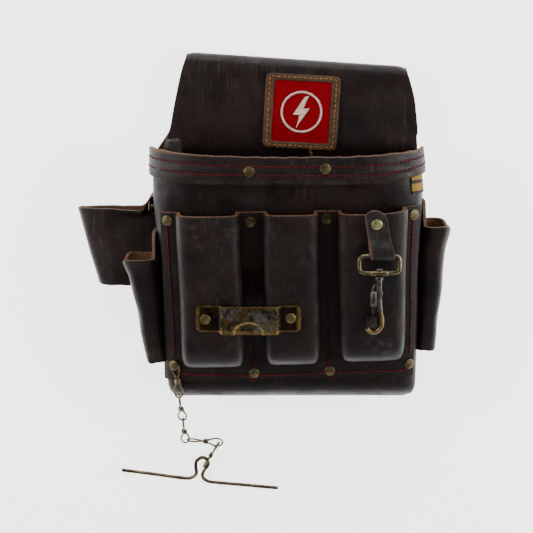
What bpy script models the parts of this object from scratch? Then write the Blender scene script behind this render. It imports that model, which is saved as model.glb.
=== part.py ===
"""Electrician's leather tool pouch, lying on its back.

+X is to the right of the pouch, +Y is towards the top of its flap and +Z points out of its front.
The origin is on the rear face, on the centre line at the bottom edge. Lengths below are in
millimetres, and every mesh is scaled to metres as it is made.
"""

import math

import bmesh
import bpy
from mathutils import Matrix, Vector

MM = 0.001
GAP = 0.3  # clearance between touching pieces
LEATHER = 3.5  # body leather
SOFT_LEATHER = 3.0  # rim, moulded panel, side pockets and loop

# Bag body: a tub with an open back, as wide and as deep as these say at each height.
BAG_TOP = 219.0
BAG_REAR = LEATHER + GAP  # the tub's edges rest on the back panel here
BAG_WIDTH_TOP = 112.0  # half width at the mouth
BAG_WIDTH_LOW = 107.5  # half width above the bottom corners
BAG_CORNER = 22.0  # how far up the bottom corners reach
BAG_CORNER_IN = 8.0  # how much narrower the bottom edge is on each side
BAG_DEPTH_LOW = 46.0
BAG_DEPTH_TOP = 80.0
BAG_LEAN = 0.025  # the bag leans to the left as it rises
BAG_LEAN_START = 3.5
BAG_SQUARE = 9.0  # superellipse exponent of the bag's plan section
MOUTH_SQUARE = 4.0  # the same at its mouth, which bows out
MOUTH_BOW_FROM = 172.0

# Back panel and flap, folded over into a belt tunnel.
PANEL_EDGES = (  # height, left edge, right edge
    (0.0, -100.0, 104.0),
    (22.0, -104.5, 111.0),
    (110.0, -108.5, 111.0),
    (212.0, -113.5, 110.5),
    (232.0, -100.0, 109.0),
    (262.0, -93.5, 106.0),
    (291.0, -86.5, 99.5),
)
PANEL_LIP = -6.0  # the rear leather runs on past the bag's bottom
FOLD_Y = 283.0
FOLD_RADIUS = 8.0  # outside
FOLD_SLOPE = -0.066  # the folded edge drops to the right
TUNNEL_LOW = 222.0  # where the front layer starts to come down to the rear layer
SEAM_Y = 196.0
FRONT_LAYER_END = 150.0
TUNNEL_RIVETS = ((-60.0, 176.0), (60.0, 176.0))

# Rim band round the mouth.
RIM_LOW = 197.0
RIM_TOP = 221.5
RIM_MIDDLE = 208.0
RIM_RIVETS = ((-33.0, 207.0), (28.0, 209.5))

# Moulded panel with three pockets.
PANEL_LOW = 24.5
PANEL_TOP = 173.5
PANEL_LEFT = -103.0
PANEL_RIGHT = 104.5
PANEL_TILT = 0.02  # rises to the right
POCKETS = (  # left and right edge at the top, left and right edge at the bottom, bottom height
    ("left", -91.5, -41.0, -89.5, -37.0, 39.0),
    ("centre", -21.5, 22.5, -19.5, 26.5, 40.0),
    ("right", 38.5, 94.0, 43.5, 96.5, 42.0),
)
POCKET_BULGE = 20.0
PANEL_GAP = 0.8  # the moulded panel's rear stands this far off the bag
POCKET_CORNER = 26.0  # how far up a pocket's bottom rounding reaches
POCKET_NARROW = 7.0  # how much narrower a pocket is at its bottom, on each side
POCKET_SQUARE = 5.0
PANEL_RIVETS = (
    ("strip_rivet_left_top", -32.0, 165.0),
    ("strip_rivet_left_low", -29.5, 30.5),
    ("strip_rivet_right_top", 30.0, 167.5),
    ("strip_rivet_right_low", 35.0, 32.5),
    ("margin_rivet_left_top", -98.0, 165.5),
    ("margin_rivet_right_top", 99.5, 170.0),
    ("margin_rivet_right_low", 101.5, 38.0),
)
CHAIN_RIVET = (-95.0, 38.0)

# Rivets
RIVET_HEAD = 4.5
RIVET_DOME = 1.5
RIVET_SHANK = 2.0
RIVET_SIDES = 12
BURR_SLACK = 1.0  # between the leather and the burr, which bites in unevenly

# Left and right side pockets: tapered tubes against the bag's sides.
LEFT_TUBE = {
    "low": 38.0,
    "mouth": 130.0,
    "tab": 153.0,
    "reach": (14.0, 29.0),
    "z_low": (30.0, 52.0),
    "z_top": (33.0, 69.0),
}
RIGHT_TUBE = {
    "low": 46.0,
    "mouth": 157.0,
    "tab": 176.0,
    "reach": (15.0, 23.0),
    "z_low": (16.0, 44.0),
    "z_top": (20.0, 66.0),
}

# Tool loop on the left side.
LOOP_REACH_TOP = 181.0
LOOP_REACH_LOW = 164.0
LOOP_LOW = 99.0
LOOP_TOP = 165.0
LOOP_FLANGE = 180.0
LOOP_GAP = 1.2  # to the bag's side
LOOP_RIVET = (171.0, 43.0)  # height and z

# Rolled tube inside the left corner.
INNER_TUBE_AT = (-95.0, 53.5)
INNER_TUBE_SPAN = (150.0, 228.0)
INNER_TUBE_RADIUS = 6.0
INNER_TUBE_WALL = 2.4

# Patch on the flap.
PATCH_AT = (10.7, 247.5)
PATCH_SIZE = (62.5, 62.0)
PATCH_WINDOW = (48.6, 52.0)
PATCH_TURN = math.radians(-3.2)
PATCH_THICK = 2.4
FIELD_THICK = 1.3
EMBLEM_THICK = 1.0
EMBLEM_MARK = [(2, 16), (-7, -2), (-1.5, -2), (-3.5, -16), (7, 3), (1.5, 3), (5.5, 15.4)]
EMBLEM_RING = (15.8, 17.6)
EMBLEM_SIDES = 32

WEBBING_X = (98.5, 101.5, 104.5, 107.0)
WEBBING_Y = (RIM_LOW - GAP, 190.0, 184.0)
WEBBING_THICK = 1.3

# Bar clip over the left and centre pockets.
CLIP_SHEET = 1.4
CLIP_LEFT = (-76.5, -57.0)
CLIP_RIGHT = (-8.5, 9.5)
CLIP_BOTTOM = 73.5
CLIP_TOP = 96.5
CLIP_RISE = 3.0
CLIP_RIVETS = ((-69.0, 85.0), (1.0, 86.0))

# Snap hook on its strap, over the right pocket.
SNAP_RIVET = (69.0, 167.5)
STRAP_END = (74.0, 140.5)  # centre of the loop's top bar
STRAP_HALF_WIDTH = 9.0
STRAP_THICK = 2.2
SNAP_WIRE = 1.8
BAR_LIFT = 5.0  # centre of the loop's top bar above the pocket's face
SNAP_LIFT = 6.8  # hook's axis above the pocket's face
SNAP_LOOP_HALF = (16.2, 7.2)
SNAP_X = 72.0  # hook's axis
HOOK_WIRE = 2.0
GUIDE_X = SNAP_X - 3.9  # the bolt runs beside the hook's shank

# Chain of knotted wire links and its toggle bar.
CHAIN_WIRE = 0.75
CHAIN_LINKS = (  # where each link hooks in, where it holds the next, and how its loops are turned
    (None, (-93.6, 6.5, 47.5), (0, 0)),
    ((-93.6, 6.5, 47.5), (-92.0, -21.0, 26.0), (90, 0)),
    ((-92.0, -21.0, 26.0), (-91.0, -49.0, 4.8), (90, 0)),
    ((-88.8, -46.4, 6.4), (-59.0, -49.5, 4.8), (90, 0)),
    ((-61.5, -50.0, 4.8), (-74.9, -71.5, 4.8), (90, 90)),
)
CHAIN_KNEE = 14.0  # the first link lies on the panel this far from its rivet
CHAIN_HOLD = 3.1  # the first loop goes round the rivet's shank
LINK_HALF_WIDTH = 3.7
BAR_WIRE = 1.6
T_BAR_POINTS = (
    (-149.0, -76.5, 2.0),
    (-120.0, -80.2, 2.4),
    (-95.0, -83.4, 3.4),
    (-87.0, -83.2, 3.8),
    (-82.0, -79.0, 4.2),
    (-82.3, -72.0, 4.6),
    (-81.5, -67.0, 4.6),
    (-76.5, -63.6, 4.6),
    (-71.8, -66.0, 4.6),
    (-71.2, -70.8, 4.6),
    (-75.2, -76.5, 4.4),
    (-76.2, -81.8, 4.2),
    (-72.0, -86.2, 3.8),
    (-64.0, -87.8, 3.4),
    (-40.0, -90.4, 2.4),
    (-8.5, -93.6, 2.0),
)

COLOURS = {
    "leather": ((0.020, 0.015, 0.014), 0.45, 0.0),
    "raw_leather": ((0.12, 0.065, 0.035), 0.85, 0.0),
    "patch_leather": ((0.09, 0.05, 0.027), 0.7, 0.0),
    "red_field": ((0.53, 0.01, 0.03), 0.9, 0.0),
    "thread": ((0.6, 0.45, 0.3), 0.8, 0.0),
    "webbing": ((0.42, 0.25, 0.03), 0.9, 0.0),
    "brass": ((0.16, 0.11, 0.035), 0.4, 1.0),
    "clip_metal": ((0.2, 0.11, 0.04), 0.45, 1.0),
    "steel": ((0.12, 0.11, 0.1), 0.4, 1.0),
    "wire": ((0.14, 0.1, 0.04), 0.35, 1.0),
}


# ---------------------------------------------------------------- making objects


def clear_scene():
    """Remove whatever the file holds."""
    for item in list(bpy.data.objects):
        bpy.data.objects.remove(item, do_unlink=True)


def material(name):
    """The named material, made once."""
    found = bpy.data.materials.get(name)
    if found:
        return found
    colour, roughness, metallic = COLOURS[name]
    made = bpy.data.materials.new(name)
    made.use_nodes = True
    shader = made.node_tree.nodes["Principled BSDF"]
    shader.inputs["Base Color"].default_value = (*colour, 1.0)
    shader.inputs["Roughness"].default_value = roughness
    shader.inputs["Metallic"].default_value = metallic
    made.diffuse_color = (*colour, 1.0)
    return made


def make_object(name, points, faces, slot, pivot=(0.0, 0.0, 0.0), sharp=40.0):
    """One object from points in millimetres, its origin at pivot and its faces turned outwards."""
    pivot = Vector(pivot)
    work = bmesh.new()
    corners = [work.verts.new((Vector(point) - pivot) * MM) for point in points]
    work.verts.ensure_lookup_table()
    for face in faces:
        work.faces.new([corners[index] for index in face])
    bmesh.ops.recalc_face_normals(work, faces=work.faces)
    if work.calc_volume(signed=True) < 0:
        bmesh.ops.reverse_faces(work, faces=work.faces)
    mesh = bpy.data.meshes.new(name)
    work.to_mesh(mesh)
    work.free()
    mesh.shade_smooth()
    mesh.set_sharp_from_angle(angle=math.radians(sharp))
    mesh.materials.append(material(slot))
    made = bpy.data.objects.new(name, mesh)
    made.location = pivot * MM
    bpy.context.scene.collection.objects.link(made)
    return made


def sheet_faces(rows, columns, ring):
    """Faces of a closed sheet whose outer points come first and its inner points after them."""
    inner = rows * columns
    last = columns if ring else columns - 1

    def at(row, column):
        return row * columns + column % columns

    faces = []
    for row in range(rows - 1):
        for column in range(last):
            quad = (at(row, column), at(row, column + 1), at(row + 1, column + 1), at(row + 1, column))
            faces.append(quad)
            faces.append(tuple(index + inner for index in reversed(quad)))
    for column in range(last):
        for row in (0, rows - 1):
            pair = (at(row, column), at(row, column + 1))
            faces.append((pair[1], pair[0], pair[0] + inner, pair[1] + inner))
    if not ring:
        for row in range(rows - 1):
            for column in (0, columns - 1):
                pair = (at(row, column), at(row + 1, column))
                faces.append((pair[0], pair[1], pair[1] + inner, pair[0] + inner))
    return faces


def sheet(name, outer, inner, slot, ring=False, pivot=(0.0, 0.0, 0.0)):
    """A closed sheet between two grids of points; a ring's columns join up."""
    rows = len(outer)
    columns = len(outer[0])
    points = [point for row in outer for point in row] + [point for row in inner for point in row]
    return make_object(name, points, sheet_faces(rows, columns, ring), slot, pivot)


def smooth_line(points, steps, closed=False):
    """Points on a Catmull-Rom curve through the given ones."""
    given = [Vector(point) for point in points]
    count = len(given)
    spans = count if closed else count - 1
    line = []
    for span in range(spans):
        near = given[span]
        far = given[(span + 1) % count]
        before = given[span - 1] if closed or span else near
        after = given[(span + 2) % count] if closed or span + 2 < count else far
        for step in range(steps):
            t = step / steps
            tangent_near = (far - before) / 2
            tangent_far = (after - near) / 2
            line.append(
                near * (2 * t**3 - 3 * t**2 + 1)
                + tangent_near * (t**3 - 2 * t**2 + t)
                + far * (3 * t**2 - 2 * t**3)
                + tangent_far * (t**3 - t**2)
            )
    if not closed:
        line.append(given[-1])
    return line


def tube(name, line, radius, slot, closed=False, sides=8, pivot=(0.0, 0.0, 0.0), across=None):
    """A wire along a line; across gives each point's own pair of half sizes (sideways, upwards)."""
    count = len(line)
    points = []
    side = None
    for index in range(count):
        ahead = line[(index + 1) % count] if closed or index + 1 < count else line[index]
        behind = line[index - 1] if closed or index else line[index]
        along = (ahead - behind).normalized()
        if side is None:
            side = along.cross(Vector((0, 0, 1)))
            side = side if side.length > 0.1 else along.cross(Vector((1, 0, 0)))
        side = (side - along * side.dot(along)).normalized()
        up = side.cross(along)
        wide, tall = across[index] if across else (radius, radius)
        for corner in range(sides):
            angle = math.tau * (corner + 0.5) / sides
            points.append(line[index] + side * math.cos(angle) * wide + up * math.sin(angle) * tall)
    faces = []
    for index in range(count if closed else count - 1):
        for corner in range(sides):
            near = index * sides
            far = (index + 1) % count * sides
            step = (corner + 1) % sides
            faces.append((near + corner, near + step, far + step, far + corner))
    if not closed:
        faces.append(tuple(range(sides)))
        faces.append(tuple(range((count - 1) * sides, count * sides)))
    return make_object(name, points, faces, slot, pivot)


def turned(name, profile, at, axis, slot, sides=RIVET_SIDES, pivot=None):
    """A turned solid: profile holds (radius, height) from one end on the axis to the other."""
    turn = Vector((0, 0, 1)).rotation_difference(Vector(axis)).to_matrix()
    at = Vector(at)
    points = [at + turn @ Vector((0, 0, profile[0][1]))]
    for radius, height in profile[1:-1]:
        for corner in range(sides):
            angle = math.tau * corner / sides
            points.append(at + turn @ Vector((radius * math.cos(angle), radius * math.sin(angle), height)))
    points.append(at + turn @ Vector((0, 0, profile[-1][1])))
    rings = len(profile) - 2
    faces = []
    for corner in range(sides):
        step = (corner + 1) % sides
        faces.append((0, 1 + step, 1 + corner))
        for ring in range(rings - 1):
            low = 1 + ring * sides
            faces.append((low + corner, low + step, low + sides + step, low + sides + corner))
        top = 1 + (rings - 1) * sides
        faces.append((top + corner, top + step, len(points) - 1))
    return make_object(name, points, faces, slot, pivot or at)


def plate(name, outline, low, high, slot, matrix=None, pivot=(0.0, 0.0, 0.0)):
    """A flat plate from its outline in X and Y, between two heights, moved by a matrix."""
    matrix = matrix or Matrix.Identity(4)
    count = len(outline)
    points = [matrix @ Vector((x, y, low)) for x, y in outline]
    points += [matrix @ Vector((x, y, high)) for x, y in outline]
    faces = [tuple(reversed(range(count))), tuple(range(count, 2 * count))]
    for index in range(count):
        step = (index + 1) % count
        faces.append((index, step, step + count, index + count))
    return make_object(name, points, faces, slot, pivot)


def combine(target, other, operation):
    """Cut a hidden tool out of the target, or join it on, with an exact Boolean."""
    other.hide_render = True
    other.display_type = "WIRE"
    modifier = target.modifiers.new(f"{operation.lower()}_{other.name}", "BOOLEAN")
    modifier.operation = operation
    modifier.solver = "EXACT"
    modifier.object = other


def drill(target, at, axis, radius, reach=12.0):
    """A round hole through the target, centred at a point."""
    number = len([item for item in bpy.data.objects if item.name.startswith("drill_")])
    cutter = turned(
        f"drill_{number}",
        [(0, -reach), (radius, -reach), (radius, reach), (0, reach)],
        at,
        axis,
        "steel",
    )
    combine(target, cutter, "DIFFERENCE")


# ---------------------------------------------------------------- shapes of the bag


def blend(value, low, high):
    """Smooth step from 0 at low to 1 at high."""
    t = min(max((value - low) / (high - low), 0.0), 1.0)
    return t * t * (3 - 2 * t)


def mix(a, b, share):
    return a + (b - a) * share


def power(value, exponent):
    """A signed power, for superellipses."""
    return math.copysign(abs(value) ** exponent, value)


def rounding(height, reach, exponent=2.5):
    """How full a rounded bottom is at a height: 0 at its edge, 1 above its reach."""
    if height >= reach:
        return 1.0
    return (1 - (1 - max(height, 0.0) / reach) ** exponent) ** (1 / exponent)


def bag_centre(y):
    return BAG_LEAN_START - BAG_LEAN * y


def bag_width(y):
    """Half width of the bag's outside."""
    straight = BAG_WIDTH_LOW + (BAG_WIDTH_TOP - BAG_WIDTH_LOW) * y / BAG_TOP
    return straight - BAG_CORNER_IN * (1 - rounding(y, BAG_CORNER))


def bag_depth(y):
    """Depth of the bag's outside in front of the back panel."""
    straight = BAG_DEPTH_LOW + (BAG_DEPTH_TOP - BAG_DEPTH_LOW) * (y - BAG_CORNER) / (BAG_TOP - BAG_CORNER)
    return max(straight, BAG_DEPTH_LOW) * rounding(y, BAG_CORNER)


def bag_square(y):
    """How square the bag's plan section is at a height."""
    return mix(BAG_SQUARE, MOUTH_SQUARE, blend(y, MOUTH_BOW_FROM, BAG_TOP))


def front_z(x, y):
    """Height of the bag's front leather."""
    share = min(abs(x - bag_centre(y)) / bag_width(y), 0.999)
    square = bag_square(y)
    return BAG_REAR + bag_depth(y) * (1 - share**square) ** (1 / square)


def front_normal(x, y):
    """The front leather's outward direction."""
    step = 0.5
    slope_x = (front_z(x + step, y) - front_z(x - step, y)) / (2 * step)
    slope_y = (front_z(x, y + step) - front_z(x, y - step)) / (2 * step)
    return Vector((-slope_x, -slope_y, 1)).normalized()


def inside_z(x, y):
    """Height of the bag's leather on its inside."""
    source = (y - LEATHER) * BAG_TOP / (BAG_TOP - LEATHER)
    share = min(abs(x - bag_centre(source)) / (bag_width(source) - LEATHER), 0.999)
    square = bag_square(source)
    return BAG_REAR + (bag_depth(source) - LEATHER) * (1 - share**square) ** (1 / square)


def leather_depth(x, y):
    """Thickness of the bag's leather along its outward direction."""
    outside = Vector((x, y, front_z(x, y)))
    normal = front_normal(x, y)
    depth = LEATHER
    while True:
        probe = outside - normal * depth
        if probe.z < inside_z(probe.x, probe.y):
            return depth
        depth += 0.1


def bag_section(y, offset, columns, y_shift=0.0):
    """Points round the bag at a height, from the left rear edge to the right rear edge."""
    points = []
    wide = bag_width(y) + offset
    deep = bag_depth(y) + offset
    for column in range(columns):
        angle = math.pi * (1 - column / (columns - 1))
        x = bag_centre(y) + wide * power(math.cos(angle), 2 / bag_square(y))
        z = BAG_REAR + deep * power(max(math.sin(angle), 0.0), 2 / bag_square(y))
        points.append((x, y + y_shift, z))
    return points


def panel_edges(y):
    """Left and right edge of the back panel at a height."""
    for (low, left_low, right_low), (high, left_high, right_high) in zip(PANEL_EDGES, PANEL_EDGES[1:]):
        if y <= high:
            share = max((y - low) / (high - low), 0.0)
            return mix(left_low, left_high, share), mix(right_low, right_high, share)
    return PANEL_EDGES[-1][1:]


# ---------------------------------------------------------------- leather body


def back_panel_path():
    """The panel's middle line in Y and Z, from its bottom edge round the fold to its front end."""
    half = LEATHER / 2
    path = [(y, half) for y in (PANEL_LIP, 10.0, 22.0, 60.0, 110.0, 160.0, 200.0)]
    path += [(y, half) for y in (212.0, 222.0, 232.0, 247.0, 262.0)]
    fold = FOLD_RADIUS - half
    for step in range(7):
        angle = -math.pi / 2 + math.pi * step / 6
        path.append((FOLD_Y + fold * math.cos(angle), FOLD_RADIUS + fold * math.sin(angle)))
    front = 2 * FOLD_RADIUS - half
    seam = LEATHER + GAP + half
    path += [(262.0, front), (240.0, front), (TUNNEL_LOW, front)]
    path += [(TUNNEL_LOW - 8, front - 1.5), (SEAM_Y + 8, seam + 1.5), (SEAM_Y, seam)]
    path += [(175.0, seam), (FRONT_LAYER_END, seam)]
    return path


def make_back_panel():
    """Rear leather of the bag and its flap, in one piece, with the belt tunnel in its fold."""
    path = back_panel_path()
    outer = []
    inner = []
    inset_width = 9.0  # the front layer is tucked inside the mouth, so it is narrower there
    for index, (y, z) in enumerate(path):
        before = path[max(index - 1, 0)]
        after = path[min(index + 1, len(path) - 1)]
        along = Vector((after[0] - before[0], after[1] - before[1])).normalized()
        normal = Vector((along.y, -along.x)) * LEATHER / 2
        left, right = panel_edges(y)
        in_front = z > LEATHER
        if in_front:
            inset = inset_width * (1 - blend(y, 205.0, 232.0))
            left += inset
            right -= inset
        row_outer = []
        row_inner = []
        for share in (0.0, 0.12, 0.35, 0.65, 0.88, 1.0):
            x = left + (right - left) * share
            drop = FOLD_SLOPE * (x - 6.0) * blend(y, 225.0, FOLD_Y)
            row_outer.append((x, y + normal.x + drop, z + normal.y))
            row_inner.append((x, y - normal.x + drop, z - normal.y))
        outer.append(row_outer)
        inner.append(row_inner)
    made = sheet("back_panel", outer, inner, "leather")
    for x, y in TUNNEL_RIVETS:
        drill(made, (x, y, LEATHER), (0, 0, 1), RIVET_SHANK + GAP)
    return made


def make_main_pocket():
    """Front, sides and bottom of the bag: a tub whose open back rests on the back panel."""
    heights = [BAG_TOP, RIM_MIDDLE, RIM_LOW, 186.0, 175.0, 130.0, 85.0, 45.0, 24.0, 14.0, 7.0, 2.5, 0.0]
    columns = 25
    outer = [bag_section(y, 0.0, columns) for y in heights]
    inner = []
    for y in heights:
        lifted = LEATHER + y * (BAG_TOP - LEATHER) / BAG_TOP
        row = bag_section(y, -LEATHER, columns)
        inner.append([(x, lifted, max(z, BAG_REAR)) for x, _, z in row])
    made = sheet("main_pocket_shell", outer, inner, "leather")
    holes = [(x, y) for _, x, y in PANEL_RIVETS] + [CHAIN_RIVET] + list(RIM_RIVETS)
    for x, y in holes:
        drill(made, (x, y, front_z(x, y)), front_normal(x, y), RIVET_SHANK + GAP)
    side = bag_centre(LOOP_RIVET[0]) - bag_width(LOOP_RIVET[0])
    drill(made, (side, *LOOP_RIVET), (1, 0, 0), RIVET_SHANK + GAP)
    return made


def make_rim_band():
    """Binding round the mouth, outside the bag's leather."""
    columns = 25
    heights = (RIM_LOW, RIM_MIDDLE, BAG_TOP, RIM_TOP)
    outer = [bag_section(y, GAP + SOFT_LEATHER, columns) for y in heights]
    inner = [bag_section(y, GAP, columns) for y in heights]
    made = sheet("rim_band", outer, inner, "leather")
    for x, y in RIM_RIVETS:
        drill(made, (x, y, front_z(x, y)), front_normal(x, y), RIVET_SHANK + GAP)
    return made


# ---------------------------------------------------------------- moulded panel


def panel_tilt(x, y):
    return y + PANEL_TILT * x


def pocket_frame(pocket, y):
    """A moulded pocket's centre, half width and bulge at a height on the panel."""
    _, left_top, right_top, left_low, right_low, bottom = pocket
    share = (y - bottom) / (PANEL_TOP - bottom)
    left = mix(left_low, left_top, share)
    right = mix(right_low, right_top, share)
    full = rounding(y - bottom, POCKET_CORNER, 3.0) if y > bottom else 0.0
    half = (right - left) / 2 - POCKET_NARROW * (1 - full)
    return (left + right) / 2, half, POCKET_BULGE * full


def panel_row(y, thick, around=13):
    """One row of the moulded panel: flat strips and three bulges, at a height above its rear."""
    line = []
    edge = PANEL_LEFT
    for pocket in POCKETS:
        centre, half, bulge = pocket_frame(pocket, y)
        strip = centre - half - edge
        shares = (0.0, 0.5) if line else (0.0, 0.25, 0.5, 0.75)
        line += [(edge + strip * share, 0.0) for share in shares]
        wall = 0.0 if thick else SOFT_LEATHER
        for step in range(around):
            angle = math.pi * (1 - step / (around - 1))
            x = centre + (half - wall) * power(math.cos(angle), 2 / POCKET_SQUARE)
            line.append((x, bulge * power(max(math.sin(angle), 0.0), 2 / POCKET_SQUARE)))
        edge = centre + half + 1.5
    line += [(edge + (PANEL_RIGHT - edge) * share, 0.0) for share in (0.0, 0.25, 0.5, 0.75, 1.0)]
    rise = SOFT_LEATHER if thick else 0.0
    row = []
    for x, bulge in line:
        tilted = panel_tilt(x, y)
        base = front_z(x, tilted)
        lift = front_normal(x, tilted) * (PANEL_GAP + rise)
        row.append((x + lift.x, tilted + lift.y, base + lift.z + bulge))
    return row


def make_pocket_panel():
    """The moulded panel, riveted and sewn to the bag's front, its three pockets open at the top."""
    heights = [PANEL_TOP, 150.0, 120.0, 90.0, 66.0, 56.0, 48.5, 44.0, 42.2, 41.0, 39.0, 32.0, PANEL_LOW]
    outer = [panel_row(y, True) for y in heights]
    inner = [panel_row(y, False) for y in heights]
    made = sheet("pocket_panel", outer, inner, "leather")
    for x, y in [(x, y) for _, x, y in PANEL_RIVETS] + [CHAIN_RIVET]:
        drill(made, (x, y, front_z(x, y)), front_normal(x, y), RIVET_SHANK + GAP)
    for x, y in [*CLIP_RIVETS, SNAP_RIVET]:
        drill(made, (x, y, pocket_face(x, y)), face_normal(), RIVET_SHANK + GAP, 8.0)
    return made


def pocket_face(x, y):
    """Height of a moulded pocket's flat face."""
    return front_z(x, y) + PANEL_GAP + SOFT_LEATHER + POCKET_BULGE


def face_slope():
    """Rise of the bag's front for each millimetre towards its mouth."""
    return (BAG_DEPTH_TOP - BAG_DEPTH_LOW) / (BAG_TOP - BAG_CORNER)


def face_normal():
    return Vector((0, -face_slope(), 1)).normalized()


# ---------------------------------------------------------------- side pockets, loop and tube


def tube_section(shape, side, y, shrink, columns=18):
    """Round a side pocket at a height: a D whose flat side lies along the bag's side."""
    share = (y - shape["low"]) / (shape["mouth"] - shape["low"])
    share = min(max(share, 0.0), 1.15)
    reach = mix(*shape["reach"], share) - 2 * shrink
    low = mix(shape["z_low"][0], shape["z_top"][0], share) + shrink
    high = mix(shape["z_low"][1], shape["z_top"][1], share) - shrink
    wall = bag_centre(y) + side * (bag_width(y) + GAP + shrink)
    points = []
    for column in range(columns):
        angle = math.tau * column / columns
        across = (1 - power(math.cos(angle), 0.7)) / 2
        z = (low + high) / 2 + (high - low) / 2 * power(math.sin(angle), 0.75)
        points.append((wall + side * reach * across, z))
    return points


def make_side_pocket(name, shape, side):
    """A tapered tube with a tab that rises along the bag's side; open at its mouth and its end."""
    shares = (0.0, 0.15, 0.4, 0.7, 1.0)
    grids = ([], [])
    for share in shares:
        for grid, shrink in zip(grids, (0.0, SOFT_LEATHER)):
            columns = 18
            row = []
            for column in range(columns):
                near = max(math.cos(math.tau * column / columns), 0.0)
                rise = (shape["tab"] - shape["mouth"]) * blend(near, 0.75, 0.97)
                y = mix(shape["low"], shape["mouth"], share) + rise * max(share - 0.7, 0.0) / 0.3
                x, z = tube_section(shape, side, y, shrink)[column]
                row.append((x, y, z))
            grid.append(row)
    return sheet(name, grids[0], grids[1], "leather", ring=True)


def loop_section(y, shrink):
    """Round the tool loop at a height: flat against the bag, thin at its far edge."""
    share = min(max((y - LOOP_LOW) / (LOOP_TOP - LOOP_LOW), 0.0), 1.0)
    reach = mix(LOOP_REACH_LOW, LOOP_REACH_TOP, share)
    wall = bag_centre(y) - bag_width(y) - LOOP_GAP
    flange = 24.0 + 26.0 * blend(y, 158.0, 168.0)
    middle = (wall - reach) / 2
    return [
        (wall - shrink, 5.0 + shrink),
        (wall - shrink, 0.5 * flange),
        (wall - shrink, flange - shrink),
        (wall - 6.0 - shrink, 4.0 + 0.84 * flange - 0.6 * shrink),
        (wall - 16.0, 15.0 + 0.35 * flange - shrink),
        (middle, 23.0 - shrink),
        (middle - 12.0, 22.5 - shrink),
        (-reach + 4.0 + 0.4 * shrink, 19.5 - shrink),
        (-reach + shrink, 13.0),
        (-reach + 4.0 + 0.4 * shrink, 6.5 + shrink),
        (middle - 12.0, 4.2 + shrink),
        (middle, 3.8 + shrink),
        (wall - 16.0, 4.2 + shrink),
    ]


def make_tool_loop():
    """A wide flattened loop of leather; its front edge runs up the bag's side as a flange."""
    shares = (0.0, 0.3, 0.6, 0.85, 1.0)
    grids = ([], [])
    columns = 13
    for share in shares:
        for grid, shrink in zip(grids, (0.0, SOFT_LEATHER)):
            row = []
            for column in range(columns):
                level = LOOP_LOW + (LOOP_TOP - LOOP_LOW) * share
                is_flange = column in (1, 2, 3)
                rise = (LOOP_FLANGE - LOOP_TOP) * max(share - 0.6, 0.0) / 0.4 if is_flange else 0.0
                x, z = loop_section(level, shrink)[column]
                row.append((x, level + rise, z))
            grid.append(row)
    made = sheet("tool_loop", grids[0], grids[1], "leather", ring=True)
    wall = bag_centre(LOOP_RIVET[0]) - bag_width(LOOP_RIVET[0]) - LOOP_GAP
    drill(made, (wall - SOFT_LEATHER / 2, *LOOP_RIVET), (1, 0, 0), RIVET_SHANK + GAP, 8.0)
    return made


def make_inner_tube():
    """A rolled leather tube that stands in the left corner of the mouth."""
    x, z = INNER_TUBE_AT
    grids = ([], [])
    for y in INNER_TUBE_SPAN:
        for grid, radius in zip(grids, (INNER_TUBE_RADIUS, INNER_TUBE_RADIUS - INNER_TUBE_WALL)):
            circle = [math.tau * column / 16 for column in range(16)]
            grid.append([(x + radius * math.cos(a), y, z + radius * math.sin(a)) for a in circle])
    return sheet("inner_tube", grids[0], grids[1], "raw_leather", ring=True)


# ---------------------------------------------------------------- patch and tab


def rectangle(width, height, inset=0.0):
    x = width / 2 - inset
    y = height / 2 - inset
    return [(-x, -y), (x, -y), (x, y), (-x, y)]


def make_patch():
    """A leather frame with a woven field in its window and a raised lightning mark on the field."""
    rear = 2 * FOLD_RADIUS + GAP
    place = Matrix.Translation((*PATCH_AT, 0)) @ Matrix.Rotation(PATCH_TURN, 4, "Z")
    corners = [rectangle(*PATCH_SIZE), rectangle(*PATCH_WINDOW)]
    grids = []
    for z in (rear + PATCH_THICK, rear):
        grids.append([[place @ Vector((x, y, z)) for x, y in outline] for outline in corners])
    sheet("patch_frame", grids[0], grids[1], "patch_leather", ring=True)
    field = rectangle(*PATCH_WINDOW, GAP)
    plate("patch_field", field, rear, rear + FIELD_THICK, "red_field", place)
    make_emblem(rear, place)


def make_emblem(rear, place):
    """A lightning mark whose tips reach a ring round it, in one flat piece on the field."""
    low = rear + FIELD_THICK + GAP
    high = rear + FIELD_THICK + GAP + EMBLEM_THICK
    inner, outer = EMBLEM_RING
    rims = []
    for radius in (outer, inner):
        circle = [math.tau * step / EMBLEM_SIDES for step in range(EMBLEM_SIDES)]
        rims.append([Vector((radius * math.cos(angle), radius * math.sin(angle), 0)) for angle in circle])
    grids = []
    for z in (high, low):
        grids.append([[place @ (point + Vector((0, 0, z))) for point in rim] for rim in rims])
    made = sheet("patch_emblem", grids[0], grids[1], "thread", ring=True)
    mark = plate("emblem_mark", EMBLEM_MARK, low, high, "thread", place)
    combine(made, mark, "UNION")


def make_woven_tab():
    """A short piece of webbing sewn in under the right end of the rim."""
    grids = ([], [])
    for y in WEBBING_Y:
        for grid, lift in zip(grids, (GAP + WEBBING_THICK, GAP)):
            row = []
            for x in WEBBING_X:
                normal = front_normal(x, y)
                row.append(Vector((x, y, front_z(x, y))) + Vector((normal.x, 0, normal.z)) * lift)
            grid.append(row)
    sheet("woven_tab", grids[0], grids[1], "webbing")


# ---------------------------------------------------------------- rivets


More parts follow.
